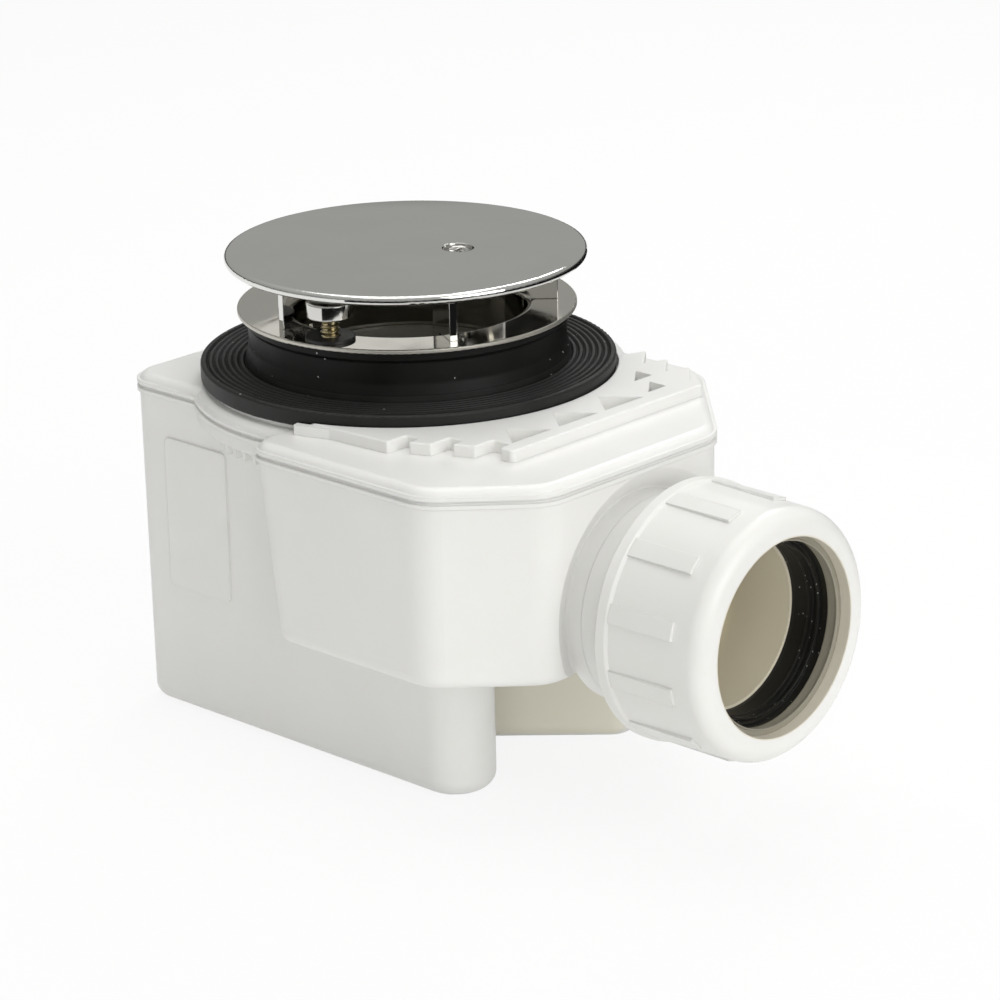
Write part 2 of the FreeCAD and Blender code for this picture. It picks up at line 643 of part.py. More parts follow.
# Places along the outlet and radii round its axis
FACE_X = cell("box_right")
SCOOP_BACK = minus(FACE_X, cell("scoop_long"))
ROOT_X = plus(FACE_X, cell("root_long"))
DISH_X = minus(FACE_X, cell("dish_deep"))
FACE_IN = minus(FACE_X, cell("face_extra"))
BARREL_X = plus(FACE_X, cell("barrel_long"))
STUB_X = plus(FACE_X, cell("stub_long"))
STOP_X = plus(FACE_X, cell("stop_in"))
SEAT_X = plus(STOP_X, cell("socket_long"))
SEAL_FRONT = plus(SEAT_X, cell("seal_long"))
SLIP_FRONT = plus(SEAL_FRONT, cell("slip_long"))
NUT_BACK = plus(BARREL_X, cell("nut_gap"))
NUT_FRONT = plus(SLIP_FRONT, cell("nut_lip"))
GRIP_FROM = plus(NUT_BACK, cell("grip_in"))
GRIP_TO = plus(GRIP_FROM, cell("grip_long"))
WAY_R = minus(cell("socket_r"), cell("stop_step"))
SEAL_ROOM = plus(cell("socket_r"), cell("seal_thick"))
THREAD_R = plus(SEAL_ROOM, cell("stub_wall"))
BARREL_R = plus(THREAD_R, cell("barrel_step"))
SCOOP_END = minus(BARREL_R, cell("scoop_shell"))
DISH_FOOT = plus(BARREL_R, cell("dish_foot"))
DISH_R = plus(BARREL_R, cell("dish_wide"))
NUT_IN = plus(THREAD_R, cell("slack"))
NUT_BACK_R = plus(NUT_IN, cell("nut_wall"))
NUT_FRONT_R = minus(NUT_BACK_R, cell("nut_taper"))
SLIP_R = minus(THREAD_R, cell("slack"))
SLIP_IN = plus(cell("socket_r"), cell("slip_open"))
NUT_MOUTH = plus(SLIP_IN, cell("mouth_step"))
SEAL_OUT = minus(SEAL_ROOM, cell("ease"))
SEAL_IN = plus(cell("socket_r"), cell("seal_open"))

# Lower housing
housing = new_body("trough_housing")
round_plan = trough_plan(cell("left_low"), "0")
sharp_plan = [corner[:2] if corner[0].startswith("-") else corner for corner in round_plan]
trough = extrude(housing, plan_sketch(housing, "TroughPlan", "0", sharp_plan), "Trough", BEAD)
lean = housing.newObject("PartDesign::Draft", "LeftLean")
lean.Base = (trough, face_names(trough, lambda face: face.BoundBox.XMax < -value(cell("left_low")) + NEAR))
lean.NeutralPlane = (origin_plane(housing, "XY_Plane"), [""])
lean.Reversed = True
lean.setExpression("Angle", "atan((Sizes.left_top - Sizes.left_low) / Sizes.bead_z)")
doc.recompute()
upright = soften(housing, lean, "LeftRound", cell("corner_round"), lambda edge: on_left(edge))
soften(housing, upright, "FloorRound", cell("floor_round"), lambda edge: level(edge, 0.0))
box_low = plan_sketch(housing, "BoxLow", cell("box_floor"), box_plan(cell("box_low_x"), "0"))
box_high = plan_sketch(housing, "BoxHigh", BEAD, box_plan(cell("box_top_x"), "0"))
box = loft(housing, box_low, box_high, "Box")
soften(housing, box, "BoxRound", cell("box_edge"), lambda edge: on_outline(edge, box_low))
bulge_low = minus(BULGE_LOW, cell("bulge_fall"))
bulge = ring_profile(housing, "BulgeProfile", [
    ("0", bulge_low),
    (minus(BULGE_R, cell("bulge_fall")), bulge_low),
    (BULGE_R, BULGE_LOW),
    (BULGE_R, BEAD),
    ("0", BEAD),
])
spin(housing, bulge, "Bulge")
gusset = ring_profile(housing, "GussetProfile", [
    (minus(BULGE_R, cell("bulge_fall")), minus(BULGE_LOW, cell("gusset_tall"))),
    (minus(BULGE_R, cell("gusset_in")), minus(BULGE_LOW, cell("gusset_tall"))),
    (minus(BULGE_R, cell("gusset_in")), plus(BULGE_LOW, OVER)),
    (minus(BULGE_R, cell("bulge_fall")), plus(BULGE_LOW, OVER)),
], turn=cell("gusset_turn"))
gusset_pad = extrude(housing, gusset, "Gusset", cell("gusset_thick"), middle=True)
gussets = housing.newObject("PartDesign::PolarPattern", "Gussets")
gussets.Originals = [gusset_pad]
gussets.Axis = z_axis(housing)
gussets.Reversed = True
gussets.setExpression("Angle", "Sizes.gusset_step * (Sizes.gusset_count - 1)")
gussets.setExpression("Occurrences", cell("gusset_count"))
housing.Tip = gussets
doc.recompute()
scoop = outlet_profile(housing, "ScoopProfile", [
    (SCOOP_BACK, "0"),
    (SCOOP_BACK, cell("scoop_r")),
    (DISH_X, BARREL_R),
    (ROOT_X, BARREL_R),
    (ROOT_X, "0"),
])
spin(housing, scoop, "Scoop", axis="H_Axis")
add_beads(housing, minus(BEAD, plus(cell("bead_off"), cell("bead_tall"))))
hollow_low = plan_sketch(housing, "HollowLow", WALL, trough_plan(cell("left_low"), WALL))
SKIM = plus(BEAD, cell("skim"))
hollow_high = plan_sketch(housing, "HollowHigh", SKIM, trough_plan(cell("left_top"), WALL))
loft(housing, hollow_low, hollow_high, "Hollow", cut=True)
FLOOR_IN = plus(cell("box_floor"), WALL)
room_low = plan_sketch(housing, "RoomLow", FLOOR_IN, box_plan(cell("box_low_x"), WALL, FACE_IN))
room_high = plan_sketch(housing, "RoomHigh", SKIM, box_plan(cell("box_top_x"), WALL, FACE_IN))
loft(housing, room_low, room_high, "Room", cut=True)
disc(housing, "BulgeRoom", BULGE_LOW, BEAD, minus(BULGE_R, WALL), cut=True)
way = outlet_profile(housing, "WayProfile", [
    (plus(SCOOP_BACK, cell("scoop_wall")), "0"),
    (plus(SCOOP_BACK, cell("scoop_wall")), cell("scoop_r")),
    (FACE_X, SCOOP_END),
    (plus(ROOT_X, OVER), SCOOP_END),
    (plus(ROOT_X, OVER), "0"),
])
spin(housing, way, "Way", axis="H_Axis", cut=True)
dish = outlet_profile(housing, "DishProfile", [
    (DISH_X, BARREL_R),
    (DISH_X, DISH_FOOT, cell("small_round")),
    (FACE_X, DISH_R),
    (plus(FACE_X, OVER), DISH_R),
    (plus(FACE_X, OVER), BARREL_R),
])
spin(housing, dish, "Dish", axis="H_Axis", cut=True)
panel = new_sketch(housing, "PanelPlan", "XZ_Plane", shift=cell("front_y"))
add_loop(panel, [
    ("-Sizes.panel_left", cell("panel_low"), cell("panel_round")),
    ("-Sizes.panel_right", cell("panel_low"), cell("panel_round")),
    ("-Sizes.panel_right", PANEL_TOP, cell("panel_round")),
    ("-Sizes.panel_left", PANEL_TOP, cell("panel_round")),
])
extrude(housing, panel, "Panel", cell("panel_proud"))

# Outlet stub, welded to the root ring of the housing
stub = new_body("outlet_stub")
STOP_BACK = minus(STOP_X, cell("stop_thick"))
spin(stub, outlet_profile(stub, "StubProfile", [
    (ROOT_X, SCOOP_END),
    (ROOT_X, BARREL_R),
    (BARREL_X, BARREL_R, cell("tiny_round")),
    (BARREL_X, THREAD_R),
    (STUB_X, THREAD_R, cell("small_round")),
    (STUB_X, SEAL_ROOM),
    (SEAT_X, SEAL_ROOM),
    (SEAT_X, cell("socket_r")),
    (STOP_X, cell("socket_r")),
    (STOP_X, WAY_R),
    (STOP_BACK, WAY_R),
    (STOP_BACK, SCOOP_END),
]), "StubShell", axis="H_Axis")

# Lid
lid = new_body("housing_lid")
for part_name, corners in (("Left", left_plan("0")), ("Right", box_plan(cell("box_top_x"), "0"))):
    extrude(lid, plan_sketch(lid, part_name + "Plan", BEAD, corners), part_name, cell("lid_rise"))
plate = disc(lid, "Round", BEAD, LID_TOP, BULGE_R)
soften(lid, plate, "Shoulder", cell("lid_round"), lambda edge: level(edge, value(LID_TOP)))

add_beads(lid, plus(BEAD, cell("bead_off")))
lid_rooms = (("LeftRoom", left_plan(WALL)), ("RightRoom", box_plan(cell("box_top_x"), WALL)))
for part_name, corners in lid_rooms:
    room = plan_sketch(lid, part_name + "Plan", BEAD, corners)
    extrude(lid, room, part_name, minus(cell("lid_rise"), cell("lid_skin")), cut=True, reverse=True)
disc(lid, "RoundRoom", BEAD, minus(LID_TOP, cell("lid_skin")), minus(BULGE_R, WALL), cut=True)
x, y = clamp_spot()
boss = disc(lid, "Boss", BOSS_LOW, LID_TOP, BOSS_R, x=x, y=y)
repeat(lid, [boss], "Bosses", z_axis(lid), "360", "2")

# Bars and slots between the curved wall and the ridge
zigzag = [("Sizes.tooth_x - Sizes.tooth_lead", "-Sizes.tooth_tip - Sizes.tooth_foot")]
for k in range(3):
    side = "Sizes.tooth_x + %d * Sizes.tooth_pitch" % k
    front = "-Sizes.tooth_tip + %d * Sizes.tooth_drop" % k
    next_side = plus(side, cell("slot_wide")) if k < 2 else cell("ridge_in")
    slot_end = plus(front, cell("slot_deep"))
    zigzag.append((side, front, cell("tip_round")))
    zigzag.append((side, slot_end, cell("tooth_round")))
    zigzag.append((next_side, slot_end, cell("tooth_round")))
    if k < 2:
        zigzag.append((next_side, front + " + Sizes.tooth_drop - Sizes.tooth_slant", cell("tip_round")))
zigzag.append((cell("ridge_in"), "-Sizes.ridge_front", cell("ridge_round")))
zigzag.append((cell("ridge_out"), "-Sizes.ridge_front", cell("ridge_round")))
zigzag.append((cell("ridge_out"), cell("ridge_back"), cell("ridge_round")))
zigzag.append((cell("ridge_in"), cell("ridge_back"), cell("tooth_round")))
for k in (2, 1, 0):
    along = "Sizes.saw_x + %d * Sizes.saw_pitch" % k
    tip = "Sizes.saw_tip - %d * Sizes.saw_drop" % k
    zigzag.append((along, tip, cell("tip_round")))
    zigzag.append((along + " - Sizes.saw_run", tip + " - Sizes.saw_deep"))
zigzag.append((cell("tooth_x"), "(%s) / 2" % GASKET_R))
zigzag.append((cell("tooth_x"), "-(%s) / 2" % GASKET_R))
band = extrude(lid, plan_sketch(lid, "ZigzagPlan", RIB_LOW, zigzag), "Zigzag", minus(RIB_TOP, RIB_LOW))
soften(lid, band, "ZigzagEdge", cell("rib_edge"), lambda edge: level(edge, value(RIB_TOP)))
disc(lid, "SeatRoom", LID_TOP, plus(RIB_TOP, OVER), RIM_IN, cut=True)
cells = new_sketch(lid, "CellPlan", "XY_Plane", shift=minus(LID_TOP, cell("cell_sunk")))
for k in (-1, 0, 1):
    middle = "Sizes.cell_mid + (%d) * Sizes.cell_pitch" % k
    add_loop(cells, [
        (cell("ridge_in"), middle + " - 0.5 * Sizes.cell_long"),
        (cell("ridge_in"), middle + " + 0.5 * Sizes.cell_long"),
        ("Sizes.ridge_in - Sizes.cell_deep", middle),
    ])
for k in range(2):
    nook_x = "Sizes.nook_x - %d * Sizes.nook_in" % k
    nook_y = "Sizes.nook_y + %d * Sizes.nook_back" % k
    nook_end = plus(nook_y, cell("nook_long"))
    add_loop(cells, [
        (nook_x, nook_y),
        (nook_x, nook_end),
        (minus(nook_x, cell("nook_deep")), nook_end),
    ])
extrude(lid, cells, "Cells", "Sizes.rib_tall + Sizes.cell_sunk + Sizes.over", cut=True, reverse=True)
rim_wall = ring_profile(lid, "RimProfile", [
    (RIM_IN, RIB_LOW),
    (RIM_OUT, RIB_LOW),
    (RIM_OUT, RIM_TOP),
    (RIM_IN, RIM_TOP),
], turn=cell("rim_mid"))
spin(lid, rim_wall, "RimWall", angle=cell("rim_span"))
seat = new_sketch(lid, "SeatPlan", "XY_Plane", shift=RIB_LOW)
add_circle(seat, "0", "0", SEAT_OUT)
add_circle(seat, "0", "0", SEAT_IN)
extrude(lid, seat, "Seat", minus(GASKET_LOW, RIB_LOW))
disc(lid, "Opening", minus(BEAD, OVER), plus(LID_TOP, OVER), RUBBER_IN, cut=True)
clamp_holes(lid, "InsertHole", INSERT_LOW, plus(LID_TOP, OVER), cell("insert_r"))

# Gasket with its concentric rings
gasket = new_body("tray_gasket")
RING_COUNT = 6
profile = [
    (RUBBER_IN, GASKET_LOW),
    (GASKET_R, GASKET_LOW, cell("small_round")),
    (GASKET_R, plus(GASKET_LOW, cell("gasket_edge")), cell("small_round")),
    (minus(GASKET_R, cell("gasket_lip")), plus(GASKET_LOW, cell("gasket_edge"))),
]
for k in range(RING_COUNT):
    outer = "%s - Sizes.ring_margin - %d * Sizes.ring_pitch" % (GASKET_R, k)
    profile.append((outer, GASKET_FACE))
    profile.append((minus(outer, cell("ring_slope")), plus(GASKET_FACE, cell("ring_tall"))))
    profile.append((minus(outer, cell("ring_land")), plus(GASKET_FACE, cell("ring_tall"))))
profile.append(("%s - Sizes.ring_margin - %d * Sizes.ring_pitch" % (GASKET_R, RING_COUNT), GASKET_FACE))
profile.append((NECK_R, GASKET_TOP))
profile.append((RUBBER_IN, GASKET_TOP))
spin(gasket, ring_profile(gasket, "GasketProfile", profile), "GasketRing")
clamp_holes(gasket, "GasketHole", minus(GASKET_LOW, OVER), plus(GASKET_TOP, OVER), SCREW_HOLE)

# Rubber neck under the flange
neck = new_body("flange_seal")
NECK_IN = minus(NECK_R, cell("neck_waist"))
NECK_LIP = minus(FLANGE_LOW, cell("neck_lip"))
spin(neck, ring_profile(neck, "NeckProfile", [
    (RUBBER_IN, GASKET_TOP),
    (NECK_R, GASKET_TOP),
    (NECK_IN, plus(GASKET_TOP, cell("neck_foot")), cell("neck_round")),
    (NECK_IN, minus(NECK_LIP, cell("neck_waist")), cell("small_round")),
    (NECK_R, NECK_LIP, cell("tiny_round")),
    (NECK_R, FLANGE_LOW),
    (RUBBER_IN, FLANGE_LOW),
]), "NeckRing")
clamp_holes(neck, "NeckHole", minus(GASKET_TOP, OVER), plus(FLANGE_LOW, OVER), SCREW_HOLE)

# Drawn flange
flange = new_body("drain_flange")
spin(flange, ring_profile(flange, "FlangeProfile", [
    (LEDGE_R, COLLAR_LOW),
    (COLLAR_R, COLLAR_LOW, cell("collar_round")),
    (COLLAR_R, FLANGE_LOW, minus(cell("throat_round"), cell("sheet"))),
    (FLANGE_R, FLANGE_LOW, cell("tiny_round")),
    (FLANGE_R, FLANGE_TOP, cell("tiny_round")),
    (cell("throat_r"), FLANGE_TOP, cell("throat_round")),
    (cell("throat_r"), LEDGE),
    (LEDGE_R, LEDGE),
]), "FlangeSheet")
clamp_holes(flange, "FlangeHole", minus(FLANGE_LOW, OVER), plus(FLANGE_TOP, OVER), SCREW_HOLE)

# Clamp screws, washers and inserts
screws = new_body("clamp_screws")
shank = disc(screws, "Shank", plus(INSERT_LOW, cell("shank_gap")), HEAD_LOW, cell("screw_r"), x=x, y=y)
head = disc(screws, "Head", HEAD_LOW, HEAD_TOP, cell("head_r"), x=x, y=y)
screw_features = [shank, head]
for k in range(3):
    low = "%s + Sizes.collar_lift + %d * Sizes.collar_step" % (WASHER_TOP, k)
    screw_features.append(disc(
        screws, "Collar%d" % k, low, plus(low, cell("collar_tall")), cell("collar_r"), x=x, y=y))
HEX_TURNS = range(0, 360, 60)
key = new_sketch(screws, "KeyPlan", "XY_Plane", shift=minus(HEAD_TOP, cell("key_deep")))
add_loop(key, [
    ("%s + Sizes.key_r * cos(%d)" % (x, turn), "%s + Sizes.key_r * sin(%d)" % (y, turn))
    for turn in HEX_TURNS
])
screw_features.append(extrude(screws, key, "Key", plus(cell("key_deep"), OVER), cut=True, reverse=True))
repeat(screws, screw_features, "ScrewPair", z_axis(screws), "360", "2")

washers = new_body("clamp_washers")
washer = disc(washers, "Washer", FLANGE_TOP, WASHER_TOP, cell("washer_r"), x=x, y=y)
washer_hole = disc(
    washers, "WasherHole", minus(FLANGE_TOP, OVER), plus(WASHER_TOP, OVER), SCREW_HOLE, cut=True, x=x, y=y)
repeat(washers, [washer, washer_hole], "WasherPair", z_axis(washers), "360", "2")

inserts = new_body("thread_inserts")
insert = disc(inserts, "Insert", INSERT_LOW, LID_TOP, cell("insert_r"), x=x, y=y)
insert_hole = disc(
    inserts, "InsertBore", minus(INSERT_LOW, OVER), plus(LID_TOP, OVER),
    plus(cell("screw_r"), cell("ease")), cut=True, x=x, y=y)
repeat(inserts, [insert, insert_hole], "InsertPair", z_axis(inserts), "360", "2")

# Cover: domed shell with fins
cover = new_body("cover")
shell = new_sketch(cover, "CoverProfile", "XZ_Plane")
outer_arc = dome_arc(shell, cell("cover_r"), COVER_EDGE, COVER_TOP)
inner_arc = dome_arc(
    shell, COVER_IN, minus(COVER_EDGE, cell("cover_skin")), minus(COVER_TOP, cell("cover_skin")))
rim_spots = [FreeCAD.Vector(value(r), value(COVER_LOW), 0) for r in (COVER_IN, cell("cover_r"))]
rim_line = shell.addGeometry(Part.LineSegment(*rim_spots), False)
pin(shell, rim_line, 1, COVER_IN, COVER_LOW)
pin(shell, rim_line, 2, cell("cover_r"), COVER_LOW)
join(shell, rim_line, 2, outer_arc, 1)
join(shell, outer_arc, 2, inner_arc, 2)
join(shell, inner_arc, 1, rim_line, 1)
cover_shell = spin(cover, shell, "CoverShell")
soften(cover, cover_shell, "CoverRound", cell("cover_round"), lambda edge: (
    abs(edge.BoundBox.XMax - value(cell("cover_r"))) < NEAR and edge.BoundBox.ZLength < NEAR))
fin = ring_profile(cover, "FinProfile", [
    (FIN_IN, roof(FIN_IN)),
    (FIN_IN, FIN_LOW, cell("fin_round")),
    (FIN_STEP, FIN_LOW, cell("fin_round")),
    (FIN_STEP, FLANGE_TOP),
    (FIN_OUT, FLANGE_TOP),
    (FIN_OUT, roof(FIN_OUT)),
], turn=cell("fin_turn"))
fin_pad = extrude(cover, fin, "Fin", cell("fin_thick"), middle=True)
repeat(cover, [fin_pad], "Fins", z_axis(cover), "360", cell("fin_count"))
LOCK = {"x": cell("lock_x"), "y": cell("lock_y")}
disc(cover, "LockSeat", LOCK_SEAT, plus(COVER_TOP, OVER),
     plus(cell("lock_r"), cell("ease")), cut=True, **LOCK)
disc(cover, "LockHole", LOCK_LOW, plus(COVER_TOP, OVER),
     plus(cell("lock_shank"), cell("ease")), cut=True, **LOCK)

lock = new_body("cover_screw")
disc(lock, "LockShank", LOCK_LOW, LOCK_SEAT, cell("lock_shank"), **LOCK)
lock_head = disc(lock, "LockHead", LOCK_SEAT, LOCK_TOP, cell("lock_r"), **LOCK)
soften(lock, lock_head, "LockRound", cell("tiny_round"), lambda edge: level(edge, value(LOCK_TOP)))
HALF_SLOT = "Sizes.lock_slot / 2"
cross_halves = (("CrossA", cell("lock_cross"), HALF_SLOT), ("CrossB", HALF_SLOT, cell("lock_cross")))
for name, half_x, half_y in cross_halves:
    slot = new_sketch(lock, name + "Plan", "XY_Plane", shift=LOCK_TOP)
    add_loop(slot, [
        (minus(cell("lock_x"), half_x), minus(cell("lock_y"), half_y)),
        (plus(cell("lock_x"), half_x), minus(cell("lock_y"), half_y)),
        (plus(cell("lock_x"), half_x), plus(cell("lock_y"), half_y)),
        (minus(cell("lock_x"), half_x), plus(cell("lock_y"), half_y)),
    ])
    extrude(lock, slot, name, cell("lock_deep"), cut=True)

# Dip tube and its ring
dip = new_body("dip_tube")
spin(dip, ring_profile(dip, "DipProfile", [
    (TUBE_IN, DIP_LOW),
    (cell("dip_r"), DIP_LOW),
    (cell("dip_r"), LEDGE),
    (CUP_R, LEDGE),
    (CUP_R, GROOVE_LOW),
    (GROOVE_R, GROOVE_LOW),
    (GROOVE_R, GROOVE_TOP),
    (CUP_R, GROOVE_TOP),
    (CUP_R, CUP_TOP),
    (CUP_IN, CUP_TOP),
    (CUP_IN, plus(LEDGE, cell("dip_wall"))),
    (TUBE_IN, plus(LEDGE, cell("dip_wall"))),
]), "DipShell")
grip = new_sketch(dip, "GripPlan", "XY_Plane", shift=minus(CUP_TOP, cell("grip_tall")))
GRIP_END = plus(CUP_IN, SINK)
add_loop(grip, [
    ("-(%s)" % GRIP_END, "-Sizes.grip_wide / 2"),
    (GRIP_END, "-Sizes.grip_wide / 2"),
    (GRIP_END, "Sizes.grip_wide / 2"),
    ("-(%s)" % GRIP_END, "Sizes.grip_wide / 2"),
])
extrude(dip, grip, "Grip", cell("grip_tall"))

dip_ring = new_body("dip_tube_seal")
spin(dip_ring, ring_profile(dip_ring, "RingProfile", [
    (GROOVE_R, plus(GROOVE_LOW, cell("ease"))),
    (cell("throat_r"), plus(GROOVE_LOW, cell("ease"))),
    (cell("throat_r"), minus(GROOVE_TOP, cell("ease"))),
    (GROOVE_R, minus(GROOVE_TOP, cell("ease"))),
]), "Ring")

# Union nut, slip ring and pipe seal
nut = new_body("union_nut")
spin(nut, outlet_profile(nut, "NutProfile", [
    (NUT_BACK, NUT_IN),
    (NUT_BACK, NUT_BACK_R, cell("small_round")),
    (plus(NUT_BACK, cell("nut_band")), NUT_BACK_R, cell("tiny_round")),
    (plus(NUT_BACK, plus(cell("nut_band"), cell("nut_step"))), minus(NUT_BACK_R, cell("nut_step"))),
    (NUT_FRONT, NUT_FRONT_R, cell("nut_round")),
    (NUT_FRONT, NUT_MOUTH),
    (SLIP_FRONT, NUT_MOUTH),
    (SLIP_FRONT, NUT_IN),
]), "NutShell", axis="H_Axis")
grip_pad = outlet_profile(nut, "NutGripProfile", [
    (GRIP_FROM, minus(NUT_FRONT_R, OVER)),
    (GRIP_TO, minus(NUT_FRONT_R, OVER)),
    (GRIP_TO, plus(NUT_FRONT_R, cell("grip_proud"))),
    (GRIP_FROM, plus(NUT_FRONT_R, cell("grip_proud"))),
], turn=cell("grip_turn"))
nut_grip = spin(nut, grip_pad, "NutGrip", axis="H_Axis", angle=cell("grip_span"))
repeat(nut, [nut_grip], "NutGrips", (grip_pad, ["H_Axis"]), "360", cell("grip_count"))

slip = new_body("slip_ring")
spin(slip, outlet_profile(slip, "SlipProfile", [
    (SEAL_FRONT, SLIP_IN),
    (SEAL_FRONT, SLIP_R),
    (SLIP_FRONT, SLIP_R),
    (SLIP_FRONT, SLIP_IN),
]), "SlipShell", axis="H_Axis")

seal = new_body("pipe_seal")
SEAL_MOUTH = plus(SLIP_IN, cell("ease"))
lips = [(SEAL_FRONT, SEAL_OUT), (SEAL_FRONT, SEAL_MOUTH)]
for k in (1, 2):
    edge = "%s - %d * Sizes.seal_ring" % (SEAL_FRONT, k)
    lips.append((edge, minus(SEAL_MOUTH, "%d * Sizes.seal_groove" % (k - 1))))
    lips.append((edge, minus(SEAL_MOUTH, "%d * Sizes.seal_groove" % k)))
spin(seal, outlet_profile(seal, "SealProfile", [(SEAT_X, SEAL_IN), (SEAT_X, SEAL_OUT)] + lips + [
    (plus(SEAT_X, cell("seal_land")), SEAL_IN),
]), "SealRing", axis="H_Axis")

# Check and write every piece
doc.recompute()
os.makedirs("parts", exist_ok=True)
faults = [item.Name for item in doc.Objects if "Invalid" in item.State or "Error" in item.State]
bodies = [item for item in doc.Objects if item.TypeId == "PartDesign::Body"]
for body in bodies:
    shape = body.Shape
    if shape.isNull() or not shape.isValid() or not shape.Solids:
        faults.append(body.Label)
        continue
    print(body.Label, len(shape.Solids), round(shape.Volume / 1000, 2))
    shape.exportStep("parts/%s.step" % body.Label)
if faults:
    raise RuntimeError("pieces at fault: " + ", ".join(faults))
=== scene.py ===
import logging
import math
from dataclasses import dataclass, field
from enum import Enum

import bpy
from mathutils import Matrix, Vector


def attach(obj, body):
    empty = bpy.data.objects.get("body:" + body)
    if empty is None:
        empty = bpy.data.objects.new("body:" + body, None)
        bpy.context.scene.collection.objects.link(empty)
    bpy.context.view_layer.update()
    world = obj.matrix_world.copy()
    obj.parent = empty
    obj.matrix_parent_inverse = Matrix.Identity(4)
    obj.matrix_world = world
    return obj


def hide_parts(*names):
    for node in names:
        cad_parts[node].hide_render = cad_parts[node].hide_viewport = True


log = logging.getLogger("shower_drain")
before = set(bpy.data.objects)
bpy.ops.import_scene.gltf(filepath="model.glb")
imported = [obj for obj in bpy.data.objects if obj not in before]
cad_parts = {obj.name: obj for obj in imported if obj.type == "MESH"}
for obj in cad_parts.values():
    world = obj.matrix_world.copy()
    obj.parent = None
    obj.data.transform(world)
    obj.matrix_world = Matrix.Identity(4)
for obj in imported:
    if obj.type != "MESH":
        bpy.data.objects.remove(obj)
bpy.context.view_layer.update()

# Units and kinds of value
MM = 0.001
Pair = tuple[float, float]
Spot = tuple[float, float, float]
Colour = tuple[float, float, float]
Socket = bpy.types.NodeSocket

# Values that several pieces or finishes share
OUTLET_AXIS: Pair = (-10.0 * MM, 63.7 * MM)
EDGE_SAMPLES = 6
MERGE = 0.001 * MM
RIDGE_SHARE = 0.82
RISING: Pair = (0.0, 1.0)
FALLING: Pair = (1.0, 0.0)
NOISE_MIDDLE: Pair = (0.3, 0.7)
NOISE_WIDE: Pair = (0.25, 0.75)
NOISE_HIGH: Pair = (0.35, 0.75)


class Body(Enum):
    """Moving bodies of the drain."""

    DRAIN = "drain"
    RING = "ring"
    NUT = "nut"


class Slot(Enum):
    """Material slots of the record that new pieces use."""

    BRASS = "brass_metal"
    SCREW = "screw_steel"
    RUBBER = "black_rubber"
    BEIGE = "beige_plastic"
    WHITE = "white_plastic"


